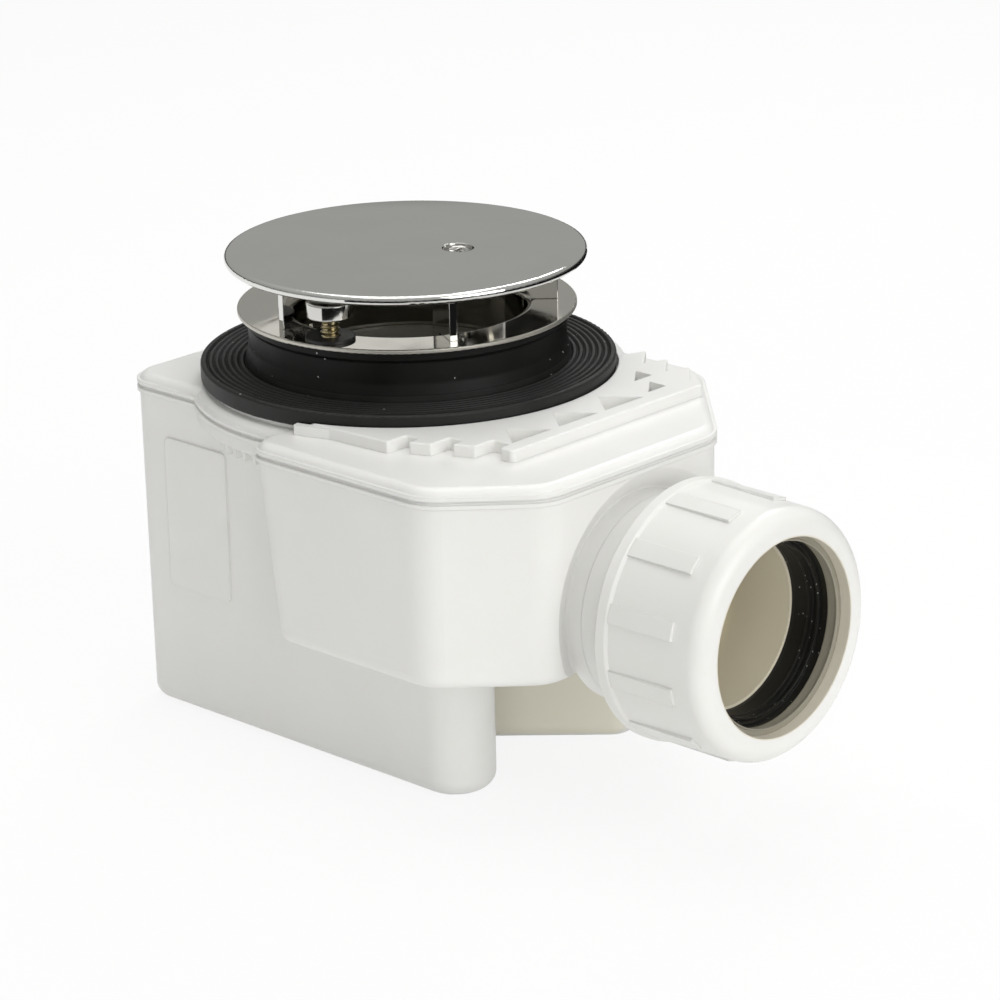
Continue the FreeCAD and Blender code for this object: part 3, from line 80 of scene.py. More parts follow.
@dataclass
class Shader:
    """Node tree of one material, with short ways to add nodes.

    Args:
        material: Material that owns the nodes.
    """

    material: bpy.types.Material

    @classmethod
    def new(cls, name: str) -> "Shader":
        """Make an empty node material.

        Args:
            name: Name of the material.

        Returns:
            The wrapped node tree.
        """
        material = bpy.data.materials.new(name)
        material.use_nodes = True
        return cls(material)

    @property
    def surface(self) -> bpy.types.Node:
        """Principled shader of the material."""
        return self.material.node_tree.nodes["Principled BSDF"]

    def add(self, kind: str, **settings: object) -> bpy.types.Node:
        """Add a node.

        Args:
            kind: Node type without its common prefix.
            settings: Properties of the node.

        Returns:
            The new node.
        """
        node = self.material.node_tree.nodes.new("ShaderNode" + kind)
        for key, setting in settings.items():
            setattr(node, key, setting)
        return node

    def link(self, source: Socket, target: Socket) -> None:
        """Join two sockets.

        Args:
            source: Socket that gives the value.
            target: Socket that takes it.
        """
        self.material.node_tree.links.new(source, target)

    def place(self) -> Socket:
        """Object coordinates of the piece.

        Returns:
            Socket with the coordinates.
        """
        return self.add("TexCoord").outputs["Object"]

    def noise(self, scale: float, detail: float = 3.0, stretch: Spot = (1.0, 1.0, 1.0)) -> Socket:
        """Noise on object coordinates.

        Args:
            scale: Scale per metre.
            detail: Octaves of the noise.
            stretch: Scale of each axis before the noise.

        Returns:
            Socket with the noise value.
        """
        mapping = self.add("Mapping")
        mapping.inputs["Scale"].default_value = stretch
        self.link(self.place(), mapping.inputs["Vector"])
        noise = self.add("TexNoise")
        noise.inputs["Scale"].default_value = scale
        noise.inputs["Detail"].default_value = detail
        self.link(mapping.outputs["Vector"], noise.inputs["Vector"])
        return noise.outputs["Fac"]

    def spread(self, source: Socket, given: Pair, wanted: Pair) -> Socket:
        """Map a value from one range to another.

        Args:
            source: Value to map.
            given: Range of the value.
            wanted: Range of the result.

        Returns:
            Socket with the mapped value.
        """
        node = self.add("MapRange")
        node.inputs["From Min"].default_value = given[0]
        node.inputs["From Max"].default_value = given[1]
        node.inputs["To Min"].default_value = wanted[0]
        node.inputs["To Max"].default_value = wanted[1]
        self.link(source, node.inputs["Value"])
        return node.outputs["Result"]

    def maths(self, operation: str, first: Socket, second: Socket | float = 0.0) -> Socket:
        """Combine two values.

        Args:
            operation: Name of the operation.
            first: First value.
            second: Second value.

        Returns:
            Socket with the result.
        """
        node = self.add("Math", operation=operation)
        self.link(first, node.inputs[0])
        if isinstance(second, Socket):
            self.link(second, node.inputs[1])
        else:
            node.inputs[1].default_value = second
        return node.outputs["Value"]

    def blend(self, share: Socket, low: Socket | Colour, high: Socket | Colour) -> Socket:
        """Blend two colours.

        Args:
            share: Share of the second colour.
            low: First colour.
            high: Second colour.

        Returns:
            Socket with the blended colour.
        """
        node = self.add("Mix", data_type="RGBA")
        self.link(share, node.inputs[0])
        for socket, colour in ((node.inputs[6], low), (node.inputs[7], high)):
            if isinstance(colour, Socket):
                self.link(colour, socket)
            else:
                socket.default_value = (*colour, 1.0)
        return node.outputs[2]

    def axes(self) -> bpy.types.Node:
        """Object coordinates, split into X, Y and Z.

        Returns:
            Node with one output for each axis.
        """
        split = self.add("SeparateXYZ")
        self.link(self.place(), split.inputs["Vector"])
        return split

    def outlet_radius(self) -> Socket:
        """Distance from the outlet axis.

        Returns:
            Socket with the distance in metres.
        """
        split = self.axes()
        across = self.maths("SUBTRACT", split.outputs["Y"], OUTLET_AXIS[0])
        height = self.maths("SUBTRACT", split.outputs["Z"], OUTLET_AXIS[1])
        across_square = self.maths("MULTIPLY", across, across)
        height_square = self.maths("MULTIPLY", height, height)
        return self.maths("SQRT", self.maths("ADD", across_square, height_square))

    def drain_radius(self) -> Socket:
        """Distance from the drain axis.

        Returns:
            Socket with the distance in metres.
        """
        split = self.axes()
        along_square = self.maths("MULTIPLY", split.outputs["X"], split.outputs["X"])
        across_square = self.maths("MULTIPLY", split.outputs["Y"], split.outputs["Y"])
        return self.maths("SQRT", self.maths("ADD", along_square, across_square))

    def bump(self, height: Socket, depth: float, base: Socket | None = None) -> Socket:
        """Bump the surface.

        Args:
            height: Height value from 0 to 1.
            depth: Depth in metres.
            base: Normal to start from.

        Returns:
            Socket with the normal.
        """
        node = self.add("Bump")
        node.inputs["Strength"].default_value = 1.0
        node.inputs["Distance"].default_value = depth
        self.link(height, node.inputs["Height"])
        if base is not None:
            self.link(base, node.inputs["Normal"])
        return node.outputs["Normal"]

    def soft_edge(self, radius: float) -> Socket:
        """Normal that rounds sharp edges a little.

        Args:
            radius: Radius of the rounding in metres.

        Returns:
            Socket with the normal.
        """
        node = self.add("Bevel", samples=EDGE_SAMPLES)
        node.inputs["Radius"].default_value = radius
        return node.outputs["Normal"]


@dataclass(frozen=True)
class Moulding:
    """Semi-gloss moulded plastic, with optional painted shade inside the outlet bore and on the low wall
    under the outlet.

    Args:
        name: Name of the material.
        colour: Colour in linear light.
        rough: Mean roughness.
        inside: Colour of the painted shade inside a bore round the outlet axis, if any.
        inside_radius: Radius of that bore in metres.
        inside_from: Length along the outlet at which the bore starts, in metres.
        inside_above: Height of the bore's floor in metres.
        edge: Radius of the softened edges in metres.
        glow: Subsurface weight.
        warm_shade: Colour of the painted shade on the slanting low wall under the outlet, if any.
        warm_away: Distance of that wall from the drain axis in metres.
        warm_slant: Slant of that wall against the outlet in degrees.
        warm_top: Height at which that wall ends, in metres.
        warm_behind: Range across the drain over which the painted shade sets in, in metres.
        warm_blur: Distances from that wall between which the painted shade fades out, in metres.
        warm_fade: Heights over its end between which the painted shade fades out, in metres.
        blur: Half width of the line between the painted bore shade and the rest, in metres.
        cloud_scale: Scale of the slow colour clouds per metre.
        cloud_pale: Factor on the colour where a cloud is palest.
        cloud_dull: Factors on the colour where a cloud is dullest.
        rough_scale: Scale of the uneven gloss per metre.
        rough_spread: Smallest and largest change of the roughness.
        grain_scale: Scale of the fine grain per metre.
        flow_scale: Scale of the slow flow marks per metre.
        flow_stretch: Scale of each axis before the flow marks.
        grain_deep: Depth of grain and flow marks in metres.
        glow_radius: Reach of light under the skin for red, green and blue.
        glow_deep: Depth of that reach in metres.
    """

    name: str
    colour: Colour
    rough: float
    inside: Colour | None = None
    inside_radius: float = 0.0
    inside_from: float = 42.0 * MM
    inside_above: float = 30.0 * MM
    edge: float = 0.5 * MM
    glow: float = 0.10
    warm_shade: Colour | None = None
    warm_away: float = 35.2 * MM
    warm_slant: float = 42.2
    warm_top: float = 46.0 * MM
    warm_behind: Pair = (-27.0 * MM, -23.0 * MM)
    warm_blur: Pair = (0.6 * MM, 2.4 * MM)
    warm_fade: Pair = (-8.0 * MM, 4.0 * MM)
    blur: float = 0.2 * MM
    cloud_scale: float = 24.0
    cloud_pale: float = 1.012
    cloud_dull: Colour = (0.985, 0.983, 0.975)
    rough_scale: float = 90.0
    rough_spread: Pair = (-0.05, 0.06)
    grain_scale: float = 1700.0
    flow_scale: float = 60.0
    flow_stretch: Spot = (1.0, 1.0, 0.25)
    grain_deep: float = 0.02 * MM
    glow_radius: Colour = (1.0, 0.9, 0.72)
    glow_deep: float = 3.0 * MM

    def material(self) -> bpy.types.Material:
        """Make the node material.

        Returns:
            The material.
        """
        shader = Shader.new(self.name)
        surface = shader.surface
        cloud = shader.spread(shader.noise(self.cloud_scale, detail=4.0), NOISE_MIDDLE, RISING)
        pale = tuple(min(part * self.cloud_pale, 1.0) for part in self.colour)
        dull = tuple(part * share for part, share in zip(self.colour, self.cloud_dull))
        colour = shader.blend(cloud, dull, pale)
        # Painted shade inside the outlet bore, tinted beige.
        if self.inside is not None:
            colour = shader.blend(self._bore_shade_share(shader), colour, self.inside)
        # Painted shade on the slanting low wall under the outlet, tinted yellowish.
        if self.warm_shade is not None:
            colour = shader.blend(self._wall_shade_share(shader), colour, self.warm_shade)
        shader.link(colour, surface.inputs["Base Color"])
        smooth, dry = (self.rough + change for change in self.rough_spread)
        rough = shader.spread(shader.noise(self.rough_scale, detail=5.0), NOISE_WIDE, (smooth, dry))
        shader.link(rough, surface.inputs["Roughness"])
        flow = shader.noise(self.flow_scale, stretch=self.flow_stretch)
        grain = shader.maths("ADD", shader.noise(self.grain_scale, detail=2.0), flow)
        normal = shader.bump(grain, self.grain_deep, shader.soft_edge(self.edge))
        shader.link(normal, surface.inputs["Normal"])
        surface.inputs["Subsurface Weight"].default_value = self.glow
        surface.inputs["Subsurface Radius"].default_value = self.glow_radius
        surface.inputs["Subsurface Scale"].default_value = self.glow_deep
        return shader.material

    def _bore_shade_share(self, shader: Shader) -> Socket:
        """Share of the painted bore shade, inside the bore alone.

        Args:
            shader: Node tree to add to.

        Returns:
            Socket with the share.
        """
        line = (self.inside_radius - self.blur, self.inside_radius + self.blur)
        deep = shader.spread(shader.outlet_radius(), line, FALLING)
        split = shader.axes()
        past = shader.maths("GREATER_THAN", split.outputs["X"], self.inside_from)
        above = shader.maths("GREATER_THAN", split.outputs["Z"], self.inside_above)
        return shader.maths("MULTIPLY", shader.maths("MULTIPLY", deep, past), above)

    def _wall_shade_share(self, shader: Shader) -> Socket:
        """Share of the painted shade colour, on the slanting low wall alone.

        Args:
            shader: Node tree to add to.

        Returns:
            Socket with the share.
        """
        split = shader.axes()
        slant = math.radians(self.warm_slant)
        along = shader.maths("MULTIPLY", split.outputs["X"], math.sin(slant))
        across = shader.maths("MULTIPLY", split.outputs["Y"], math.cos(slant))
        away = shader.maths("SUBTRACT", shader.maths("SUBTRACT", along, across), self.warm_away)
        near = shader.spread(shader.maths("ABSOLUTE", away), self.warm_blur, FALLING)
        low, high = (self.warm_top + part for part in self.warm_fade)
        below = shader.spread(split.outputs["Z"], (low, high), FALLING)
        behind = shader.spread(split.outputs["Y"], self.warm_behind, RISING)
        return shader.maths("MULTIPLY", shader.maths("MULTIPLY", near, below), behind)


@dataclass(frozen=True)
class Rubber:
    """Black rubber with a satin skin and a little pale dust.

    Args:
        name: Name of the material.
        colour: Colour in linear light.
        rough: Mean roughness.
        dust: Size of the dust dots, as a share of their cell.
        shine: Specular level.
        dust_cells: Cells of dust per metre.
        dust_colour: Colour of the dust.
        dust_patches: Scale of the dusty patches per metre.
        dust_rare: Level of the patches' noise over which a cell keeps its dust.
        cloud_scale: Scale of the slow clouds per metre.
        cloud_pale: Factor on the colour where a cloud is palest.
        rough_spread: Smallest and largest change of the roughness.
        grain_scale: Scale of the fine grain per metre.
        skin_scale: Scale of the coarser skin per metre.
        grain_deep: Depth of grain and skin in metres.
        edge: Radius of the softened edges in metres.
    """

    name: str
    colour: Colour
    rough: float
    dust: float
    shine: float = 0.36
    dust_cells: float = 230.0
    dust_colour: Colour = (0.40, 0.40, 0.38)
    dust_patches: float = 55.0
    dust_rare: float = 0.52
    cloud_scale: float = 70.0
    cloud_pale: float = 1.9
    rough_spread: Pair = (-0.07, 0.1)
    grain_scale: float = 1300.0
    skin_scale: float = 240.0
    grain_deep: float = 0.035 * MM
    edge: float = 0.3 * MM

    def material(self) -> bpy.types.Material:
        """Make the node material.

        Returns:
            The material.
        """
        shader = Shader.new(self.name)
        surface = shader.surface
        cloud = shader.noise(self.cloud_scale, detail=5.0)
        lighter = tuple(part * self.cloud_pale for part in self.colour)
        colour = shader.blend(shader.spread(cloud, NOISE_HIGH, RISING), self.colour, lighter)
        cells = shader.add("TexVoronoi")
        cells.inputs["Scale"].default_value = self.dust_cells
        shader.link(shader.place(), cells.inputs["Vector"])
        dots = shader.maths("LESS_THAN", cells.outputs["Distance"], self.dust)
        rare = shader.maths("GREATER_THAN", shader.noise(self.dust_patches, detail=1.0), self.dust_rare)
        colour = shader.blend(shader.maths("MULTIPLY", dots, rare), colour, self.dust_colour)
        shader.link(colour, surface.inputs["Base Color"])
        smooth, dry = (self.rough + change for change in self.rough_spread)
        rough = shader.spread(cloud, NOISE_MIDDLE, (smooth, dry))
        shader.link(rough, surface.inputs["Roughness"])
        surface.inputs["Specular IOR Level"].default_value = self.shine
        skin = shader.noise(self.skin_scale)
        grain = shader.maths("ADD", shader.noise(self.grain_scale), skin)
        normal = shader.bump(grain, self.grain_deep, shader.soft_edge(self.edge))
        shader.link(normal, surface.inputs["Normal"])
        return shader.material


@dataclass(frozen=True)
class Metal:
    """Polished or turned metal.

    Args:
        name: Name of the material.
        colour: Colour in linear light.
        rough: Mean roughness.
        scratch: Depth of the fine scratches in metres.
        wave: Depth of the slow unevenness of the sheet in metres.
        cut_edge: Radius round the drain axis beyond which the sheet shows its dull cut edge.
        edge: Radius of the softened edges in metres.
        cut_blur: Width over which the cut edge sets in, in metres.
        cut_rough: Roughness that the cut edge adds.
        cloud_scale: Scale of the slow clouds per metre.
        cloud_dull: Factor on the colour where a cloud is dullest.
        rough_scale: Scale of the uneven gloss per metre.
        rough_spread: Smallest and largest factor on the roughness.
        line_scale: Scale of the fine scratches per metre.
        line_stretch: Scale of each axis before the scratches.
        wave_scale: Scale of the slow unevenness per metre.
    """

    name: str
    colour: Colour
    rough: float
    scratch: float = 0.0006 * MM
    wave: float = 0.0
    cut_edge: float = 0.0
    edge: float = 0.25 * MM
    cut_blur: float = 0.3 * MM
    cut_rough: float = 0.4
    cloud_scale: float = 38.0
    cloud_dull: float = 0.95
    rough_scale: float = 130.0
    rough_spread: Pair = (0.7, 1.6)
    line_scale: float = 900.0
    line_stretch: Spot = (1.0, 0.08, 1.0)
    wave_scale: float = 30.0

    def material(self) -> bpy.types.Material:
        """Make the node material.

        Returns:
            The material.
        """
        shader = Shader.new(self.name)
        surface = shader.surface
        surface.inputs["Metallic"].default_value = 1.0
        cloud = shader.spread(shader.noise(self.cloud_scale, detail=4.0), NOISE_MIDDLE, RISING)
        dull = tuple(part * self.cloud_dull for part in self.colour)
        shader.link(shader.blend(cloud, dull, self.colour), surface.inputs["Base Color"])
        smooth, dry = (self.rough * factor for factor in self.rough_spread)
        rough = shader.spread(shader.noise(self.rough_scale, detail=6.0), NOISE_HIGH, (smooth, dry))
        if self.cut_edge > 0.0:
            start = (self.cut_edge, self.cut_edge + self.cut_blur)
            beyond = shader.spread(shader.drain_radius(), start, (0.0, self.cut_rough))
            rough = shader.maths("ADD", rough, beyond)
        shader.link(rough, surface.inputs["Roughness"])
        lines = shader.noise(self.line_scale, detail=2.0, stretch=self.line_stretch)
        normal = shader.bump(lines, self.scratch, shader.soft_edge(self.edge))
        if self.wave > 0.0:
            normal = shader.bump(shader.noise(self.wave_scale, detail=2.0), self.wave, normal)
        shader.link(normal, surface.inputs["Normal"])
        return shader.material


Finish = Moulding | Rubber | Metal

# Finishes of this drain
PLASTIC_WHITE: Colour = (0.85, 0.847, 0.832)
# Painted shade colour for the inside of the white outlet bore.
PAINTED_BORE_SHADE: Colour = (0.82, 0.76, 0.60)
# Painted shade colour, yellowish, for the slanting low wall under the outlet.
SHADE_WARM: Colour = (0.89, 0.86, 0.74)
WHITE = Moulding("white_moulding", PLASTIC_WHITE, 0.36)
# The socket's and housing's inside colour is painted bore shade.
SOCKET = Moulding("socket_moulding", PLASTIC_WHITE, 0.36, inside=PAINTED_BORE_SHADE, inside_radius=31.0 * MM)
HOUSING = Moulding(
    "housing_moulding", PLASTIC_WHITE, 0.36, inside=PAINTED_BORE_SHADE, inside_radius=29.4 * MM,
    inside_above=48.6 * MM, warm_shade=SHADE_WARM)
# Its inside colour is painted shade on the nut's mouth wall, darker and more beige than the white.
NUT_WHITE = Moulding(
    "nut_moulding", (0.83, 0.828, 0.81), 0.33, inside=(0.74, 0.70, 0.60), inside_radius=30.3 * MM)
GREY = Moulding("grey_moulding", (0.40, 0.385, 0.33), 0.48, glow=0.0)
BEIGE = Moulding("beige_moulding", (0.33, 0.31, 0.25), 0.42, glow=0.0)
RUBBER = Rubber("black_rubber", (0.0084, 0.0083, 0.0077), 0.50, dust=0.07)
NECK_RUBBER = Rubber("neck_rubber", (0.0048, 0.0047, 0.0044), 0.46, dust=0.07, shine=0.20)
SEAL_RUBBER = Rubber("seal_rubber", (0.0074, 0.0074, 0.0069), 0.42, dust=0.11, dust_cells=520.0)
# Black rubber washer whose near-black colour also stands in for the painted dark reflection and shadow
# under each clamp head.
WASHER_AND_SHADE = Rubber("washer_and_painted_shade", (0.010, 0.010, 0.0098), 0.36, dust=0.0)
FLANGE = Metal(
    "polished_flange", (0.66, 0.64, 0.58), 0.08, scratch=0.0008 * MM, wave=0.02 * MM, cut_edge=52.0 * MM)
CHROME = Metal("mirror_chrome", (0.76, 0.755, 0.735), 0.035, edge=0.55 * MM)
SCREW = Metal("plated_screw", (0.66, 0.655, 0.63), 0.14, scratch=0.002 * MM)
CROSS = Metal("cross_screw_plate", (0.58, 0.575, 0.555), 0.09, scratch=0.0008 * MM)
BRASS = Metal("turned_brass", (0.50, 0.43, 0.27), 0.26, scratch=0.002 * MM)


@dataclass
class CadDress:
    """Finishes of the CAD nodes.

    Args:
        finishes: Finish of each node.
    """

    finishes: dict[str, Finish] = field(default_factory=lambda: {
        "trough_housing": HOUSING,
        "outlet_stub": SOCKET,
        "housing_lid": WHITE,
        "tray_gasket": RUBBER,
        "flange_seal": NECK_RUBBER,
        "drain_flange": FLANGE,
        "clamp_screws": SCREW,
        "clamp_washers": WASHER_AND_SHADE,
        "thread_inserts": BRASS,
        "cover": CHROME,
        "cover_screw": CROSS,
        "dip_tube": GREY,
        "dip_tube_seal": RUBBER,
        "union_nut": NUT_WHITE,
        "slip_ring": BEIGE,
        "pipe_seal": SEAL_RUBBER,
    })

    def dress(self) -> dict[str, bpy.types.Material]:
        """Give each CAD node its finish.

        Returns:
            The materials by name.
        """
        made: dict[str, bpy.types.Material] = {}
        for name, finish in self.finishes.items():
            if finish.name not in made:
                made[finish.name] = finish.material()
            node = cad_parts[name]
            node.data.materials.clear()
            node.data.materials.append(made[finish.name])
            log.info("dressed %s with %s", name, finish.name)
        return made


class Modeller:
    """Short ways to shape a piece."""

    @staticmethod
    def clear() -> None:
        """Deselect every object."""
        bpy.ops.object.select_all(action="DESELECT")

    @staticmethod
    def pick(piece: bpy.types.Object) -> None:
        """Make one piece the selected and active one.

        Args:
            piece: Piece to pick.
        """
        Modeller.clear()
        piece.select_set(True)
        bpy.context.view_layer.objects.active = piece

    @staticmethod
    def settle(piece: bpy.types.Object) -> None:
        """Put the place of a piece into its mesh.

        Args:
            piece: Piece to settle.
        """
        Modeller.pick(piece)
        bpy.ops.object.transform_apply(location=True, rotation=True, scale=True)

    @staticmethod
    def smooth(piece: bpy.types.Object, angle: float) -> None:
        """Shade a piece smooth.

        Args:
            piece: Piece to shade.
            angle: Largest smooth edge angle in degrees.
        """
        Modeller.pick(piece)
        bpy.ops.object.shade_smooth_by_angle(angle=math.radians(angle))

    @staticmethod
    def apply(piece: bpy.types.Object, modifier: bpy.types.Modifier) -> None:
        """Apply one modifier.

        Args:
            piece: Piece that carries the modifier.
            modifier: Modifier to apply.
        """
        Modeller.pick(piece)
        bpy.ops.object.modifier_apply(modifier=modifier.name)

    @staticmethod
    def carve(piece: bpy.types.Object, tool: bpy.types.Object) -> None:
        """Cut a tool shape out of a piece and remove the tool.

        Args:
            piece: Piece to cut.
            tool: Shape to take away.
        """
        cut = piece.modifiers.new("cut", "BOOLEAN")
        cut.operation = "DIFFERENCE"
        cut.solver = "EXACT"
        cut.object = tool
        Modeller.apply(piece, cut)
        bpy.data.objects.remove(tool)

    @staticmethod
    def round_edges(piece: bpy.types.Object, width: float, angle: float, segments: int = 3) -> None:
        """Bevel the sharp edges of a piece.

        Args:
            piece: Piece to change.
            width: Width of the bevel in metres.
            angle: Smallest edge angle in degrees.
            segments: Steps of the bevel.
        """
        bevel = piece.modifiers.new("edges", "BEVEL")
        bevel.width = width
        bevel.segments = segments
        bevel.limit_method = "ANGLE"
        bevel.angle_limit = math.radians(angle)
        Modeller.apply(piece, bevel)

    @staticmethod
    def lathe(name: str, centre: Pair, profile: list[Pair], sides: int) -> bpy.types.Object:
        """Turn a profile round an upright axis by extruding a ring step by step.

        Args:
            name: Name of the piece.
            centre: Place of the axis.
            profile: Radius and height of each ring, from first to last.
            sides: Sides of the ring.

        Returns:
            The turned piece with closed ends.
        """
        Modeller.clear()
        radius, height = profile[0]
        bpy.ops.mesh.primitive_circle_add(
            vertices=sides, radius=radius, fill_type="NGON", location=(*centre, height))
        piece = bpy.context.object
        piece.name = name
        bpy.ops.object.mode_set(mode="EDIT")
        bpy.ops.mesh.select_all(action="SELECT")
        for next_radius, next_height in profile[1:]:
            rise = next_height - height
            bpy.ops.mesh.extrude_region_move(TRANSFORM_OT_translate={"value": (0.0, 0.0, rise)})
            share = next_radius / radius
            bpy.ops.transform.resize(value=(share, share, 1.0), center_override=(*centre, next_height))
            radius, height = next_radius, next_height
        bpy.ops.mesh.select_all(action="SELECT")
        bpy.ops.mesh.normals_make_consistent(inside=False)
        bpy.ops.object.mode_set(mode="OBJECT")
        Modeller.settle(piece)
        return piece

    @staticmethod
    def helix(
            name: str, turns: float, pitch: float, root: float, crest: float,
            steps: int = 40) -> bpy.types.Object:
        """Thread ridge wound upwards round the origin.

        Args:
            name: Name of the piece.
            turns: Number of turns.
            pitch: Rise of one turn.
            root: Radius of the thread root.
            crest: Radius of the thread crest.
            steps: Steps of one turn.

        Returns:
            The thread with closed ends.
        """
        Modeller.clear()
        bpy.ops.mesh.primitive_circle_add(
            vertices=4, radius=0.5 * pitch, fill_type="NOTHING", rotation=(math.pi / 2, 0.0, 0.0))
        piece = bpy.context.object
        piece.name = name
        Modeller.settle(piece)
        bpy.ops.object.mode_set(mode="EDIT")
        bpy.ops.mesh.select_all(action="SELECT")
        bpy.ops.transform.resize(
            value=(2.0 * (crest - root) / pitch, 1.0, RIDGE_SHARE), center_override=(0.0, 0.0, 0.0))
        bpy.ops.transform.translate(value=(root, 0.0, 0.0))
        bpy.ops.object.mode_set(mode="OBJECT")
        wind = piece.modifiers.new("wind", "SCREW")
        wind.axis = "Z"
        wind.angle = 2.0 * math.pi * turns
        wind.screw_offset = pitch * turns
        wind.steps = int(steps * turns)
        wind.render_steps = wind.steps
        Modeller.apply(piece, wind)
        bpy.ops.object.mode_set(mode="EDIT")
        bpy.ops.mesh.select_all(action="SELECT")
        bpy.ops.mesh.remove_doubles(threshold=MERGE)
        bpy.ops.mesh.select_all(action="DESELECT")
        bpy.ops.mesh.select_non_manifold(extend=False)
        bpy.ops.mesh.edge_face_add()
        bpy.ops.mesh.select_all(action="SELECT")
        bpy.ops.mesh.normals_make_consistent(inside=False)
        bpy.ops.object.mode_set(mode="OBJECT")
        return piece


@dataclass
class ClampScrews:
    """Two clamp screws with plated heads and turned brass threads.

    Args:
        pitch_radius: Distance of a screw from the drain axis.
        direction: Direction of the first screw in degrees.
        head_low: Underside of the head.
        head_top: Top of the head.
        head_radius: Radius of the head.
        shank_low: Lower end of the shank.
        thread_low: Lower end of the thread.
        core: Radius of the shank core.
        crest: Radius of the thread crest.
        thread_pitch: Pitch of the thread.
        thread_short: Turns by which the thread ends below the head.
        key: Radius of the key socket over its corners.
        key_deep: Depth of the key socket.
        ease: Rounding of the head's rims.
        fine_edge: Width of the bevel on the head's edges.
        chamfer: Chamfer of the shank's end.
        overlap: Length of the shank inside the head.
        head_sides: Sides of the head.
        shank_sides: Sides of the shank.
    """

    pitch_radius: float = 44.4 * MM
    direction: float = 103.4
    head_low: float = 139.1 * MM
    head_top: float = 144.5 * MM
    head_radius: float = 7.0 * MM
    shank_low: float = 96.0 * MM
    thread_low: float = 110.4 * MM
    core: float = 2.3 * MM
    crest: float = 3.0 * MM
    thread_pitch: float = 1.6 * MM
    thread_short: float = 0.6
    key: float = 2.5 * MM
    key_deep: float = 2.6 * MM
    ease: float = 0.5 * MM
    fine_edge: float = 0.3 * MM
    chamfer: float = 0.7 * MM
    overlap: float = 0.2 * MM
    head_sides: int = 72
    shank_sides: int = 48

    def build(self, finishes: dict[str, bpy.types.Material]) -> None:
        """Model both screws and let them stand for the CAD node.

        Args:
            finishes: Materials by name.
        """
        angle = math.radians(self.direction)
        centre = (self.pitch_radius * math.cos(angle), self.pitch_radius * math.sin(angle))
        head = self._head(centre, finishes[SCREW.name])
        shank = self._shank(centre, finishes[BRASS.name])
        thread = self._thread(centre, finishes[BRASS.name])
        for first, slot in ((head, Slot.SCREW), (shank, Slot.BRASS), (thread, Slot.BRASS)):
            for piece in (first, self._opposite(first)):
                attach(piece, Body.DRAIN.value)
                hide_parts("clamp_screws")
                log.info("modelled %s", piece.name)

    def _opposite(self, first: bpy.types.Object) -> bpy.types.Object:
        """Copy a piece of the first screw to the other side of the drain axis.

        Args:
            first: Piece to copy.

        Returns:
            The copy, with its own mesh.
        """
        Modeller.pick(first)
        bpy.ops.object.duplicate(linked=False)
        copy = bpy.context.object
        copy.name = first.name.replace("_1", "_2")
        copy.rotation_euler = (0.0, 0.0, math.pi)
        Modeller.settle(copy)
        return copy

    def _head(self, centre: Pair, finish: bpy.types.Material) -> bpy.types.Object:
        """Model the first head with its key socket.

        Args:
            centre: Place of its axis.
            finish: Material of the head.

        Returns:
            The head.
        """
        head = Modeller.lathe("clamp_head_1", centre, [
            (self.head_radius - 2.0 * self.ease, self.head_low),
            (self.head_radius, self.head_low + self.ease),
            (self.head_radius, self.head_top - self.ease),
            (self.head_radius - self.ease, self.head_top),
        ], self.head_sides)
        Modeller.clear()
        bpy.ops.mesh.primitive_cylinder_add(
            vertices=6, radius=self.key, depth=2.0 * self.key_deep, location=(*centre, self.head_top))
        Modeller.carve(head, bpy.context.object)
        Modeller.round_edges(head, self.fine_edge, angle=35.0)
        Modeller.smooth(head, angle=32.0)
        head.data.materials.clear()
        head.data.materials.append(finish)
        return head

    def _shank(self, centre: Pair, finish: bpy.types.Material) -> bpy.types.Object:
        """Model the first shank core with a chamfered end.

        Args:
            centre: Place of its axis.
            finish: Material of the shank.

        Returns:
            The shank.
        """
        shank = Modeller.lathe("clamp_shank_1", centre, [
            (self.core - self.chamfer, self.shank_low),
            (self.core, self.shank_low + self.chamfer),
            (self.core, self.head_low + self.overlap),
        ], self.shank_sides)
        Modeller.smooth(shank, angle=30.0)
        shank.data.materials.append(finish)
        return shank

    def _thread(self, centre: Pair, finish: bpy.types.Material) -> bpy.types.Object:
        """Model the first thread ridge.

        Args:
            centre: Place of its axis.
            finish: Material of the thread.

        Returns:
            The thread.
        """
        turns = (self.head_low - self.thread_low) / self.thread_pitch - self.thread_short
        thread = Modeller.helix("clamp_thread_1", turns, self.thread_pitch, self.core, self.crest)
        thread.location = (*centre, self.thread_low)
        Modeller.settle(thread)
        Modeller.smooth(thread, angle=40.0)
        thread.data.materials.append(finish)
        return thread


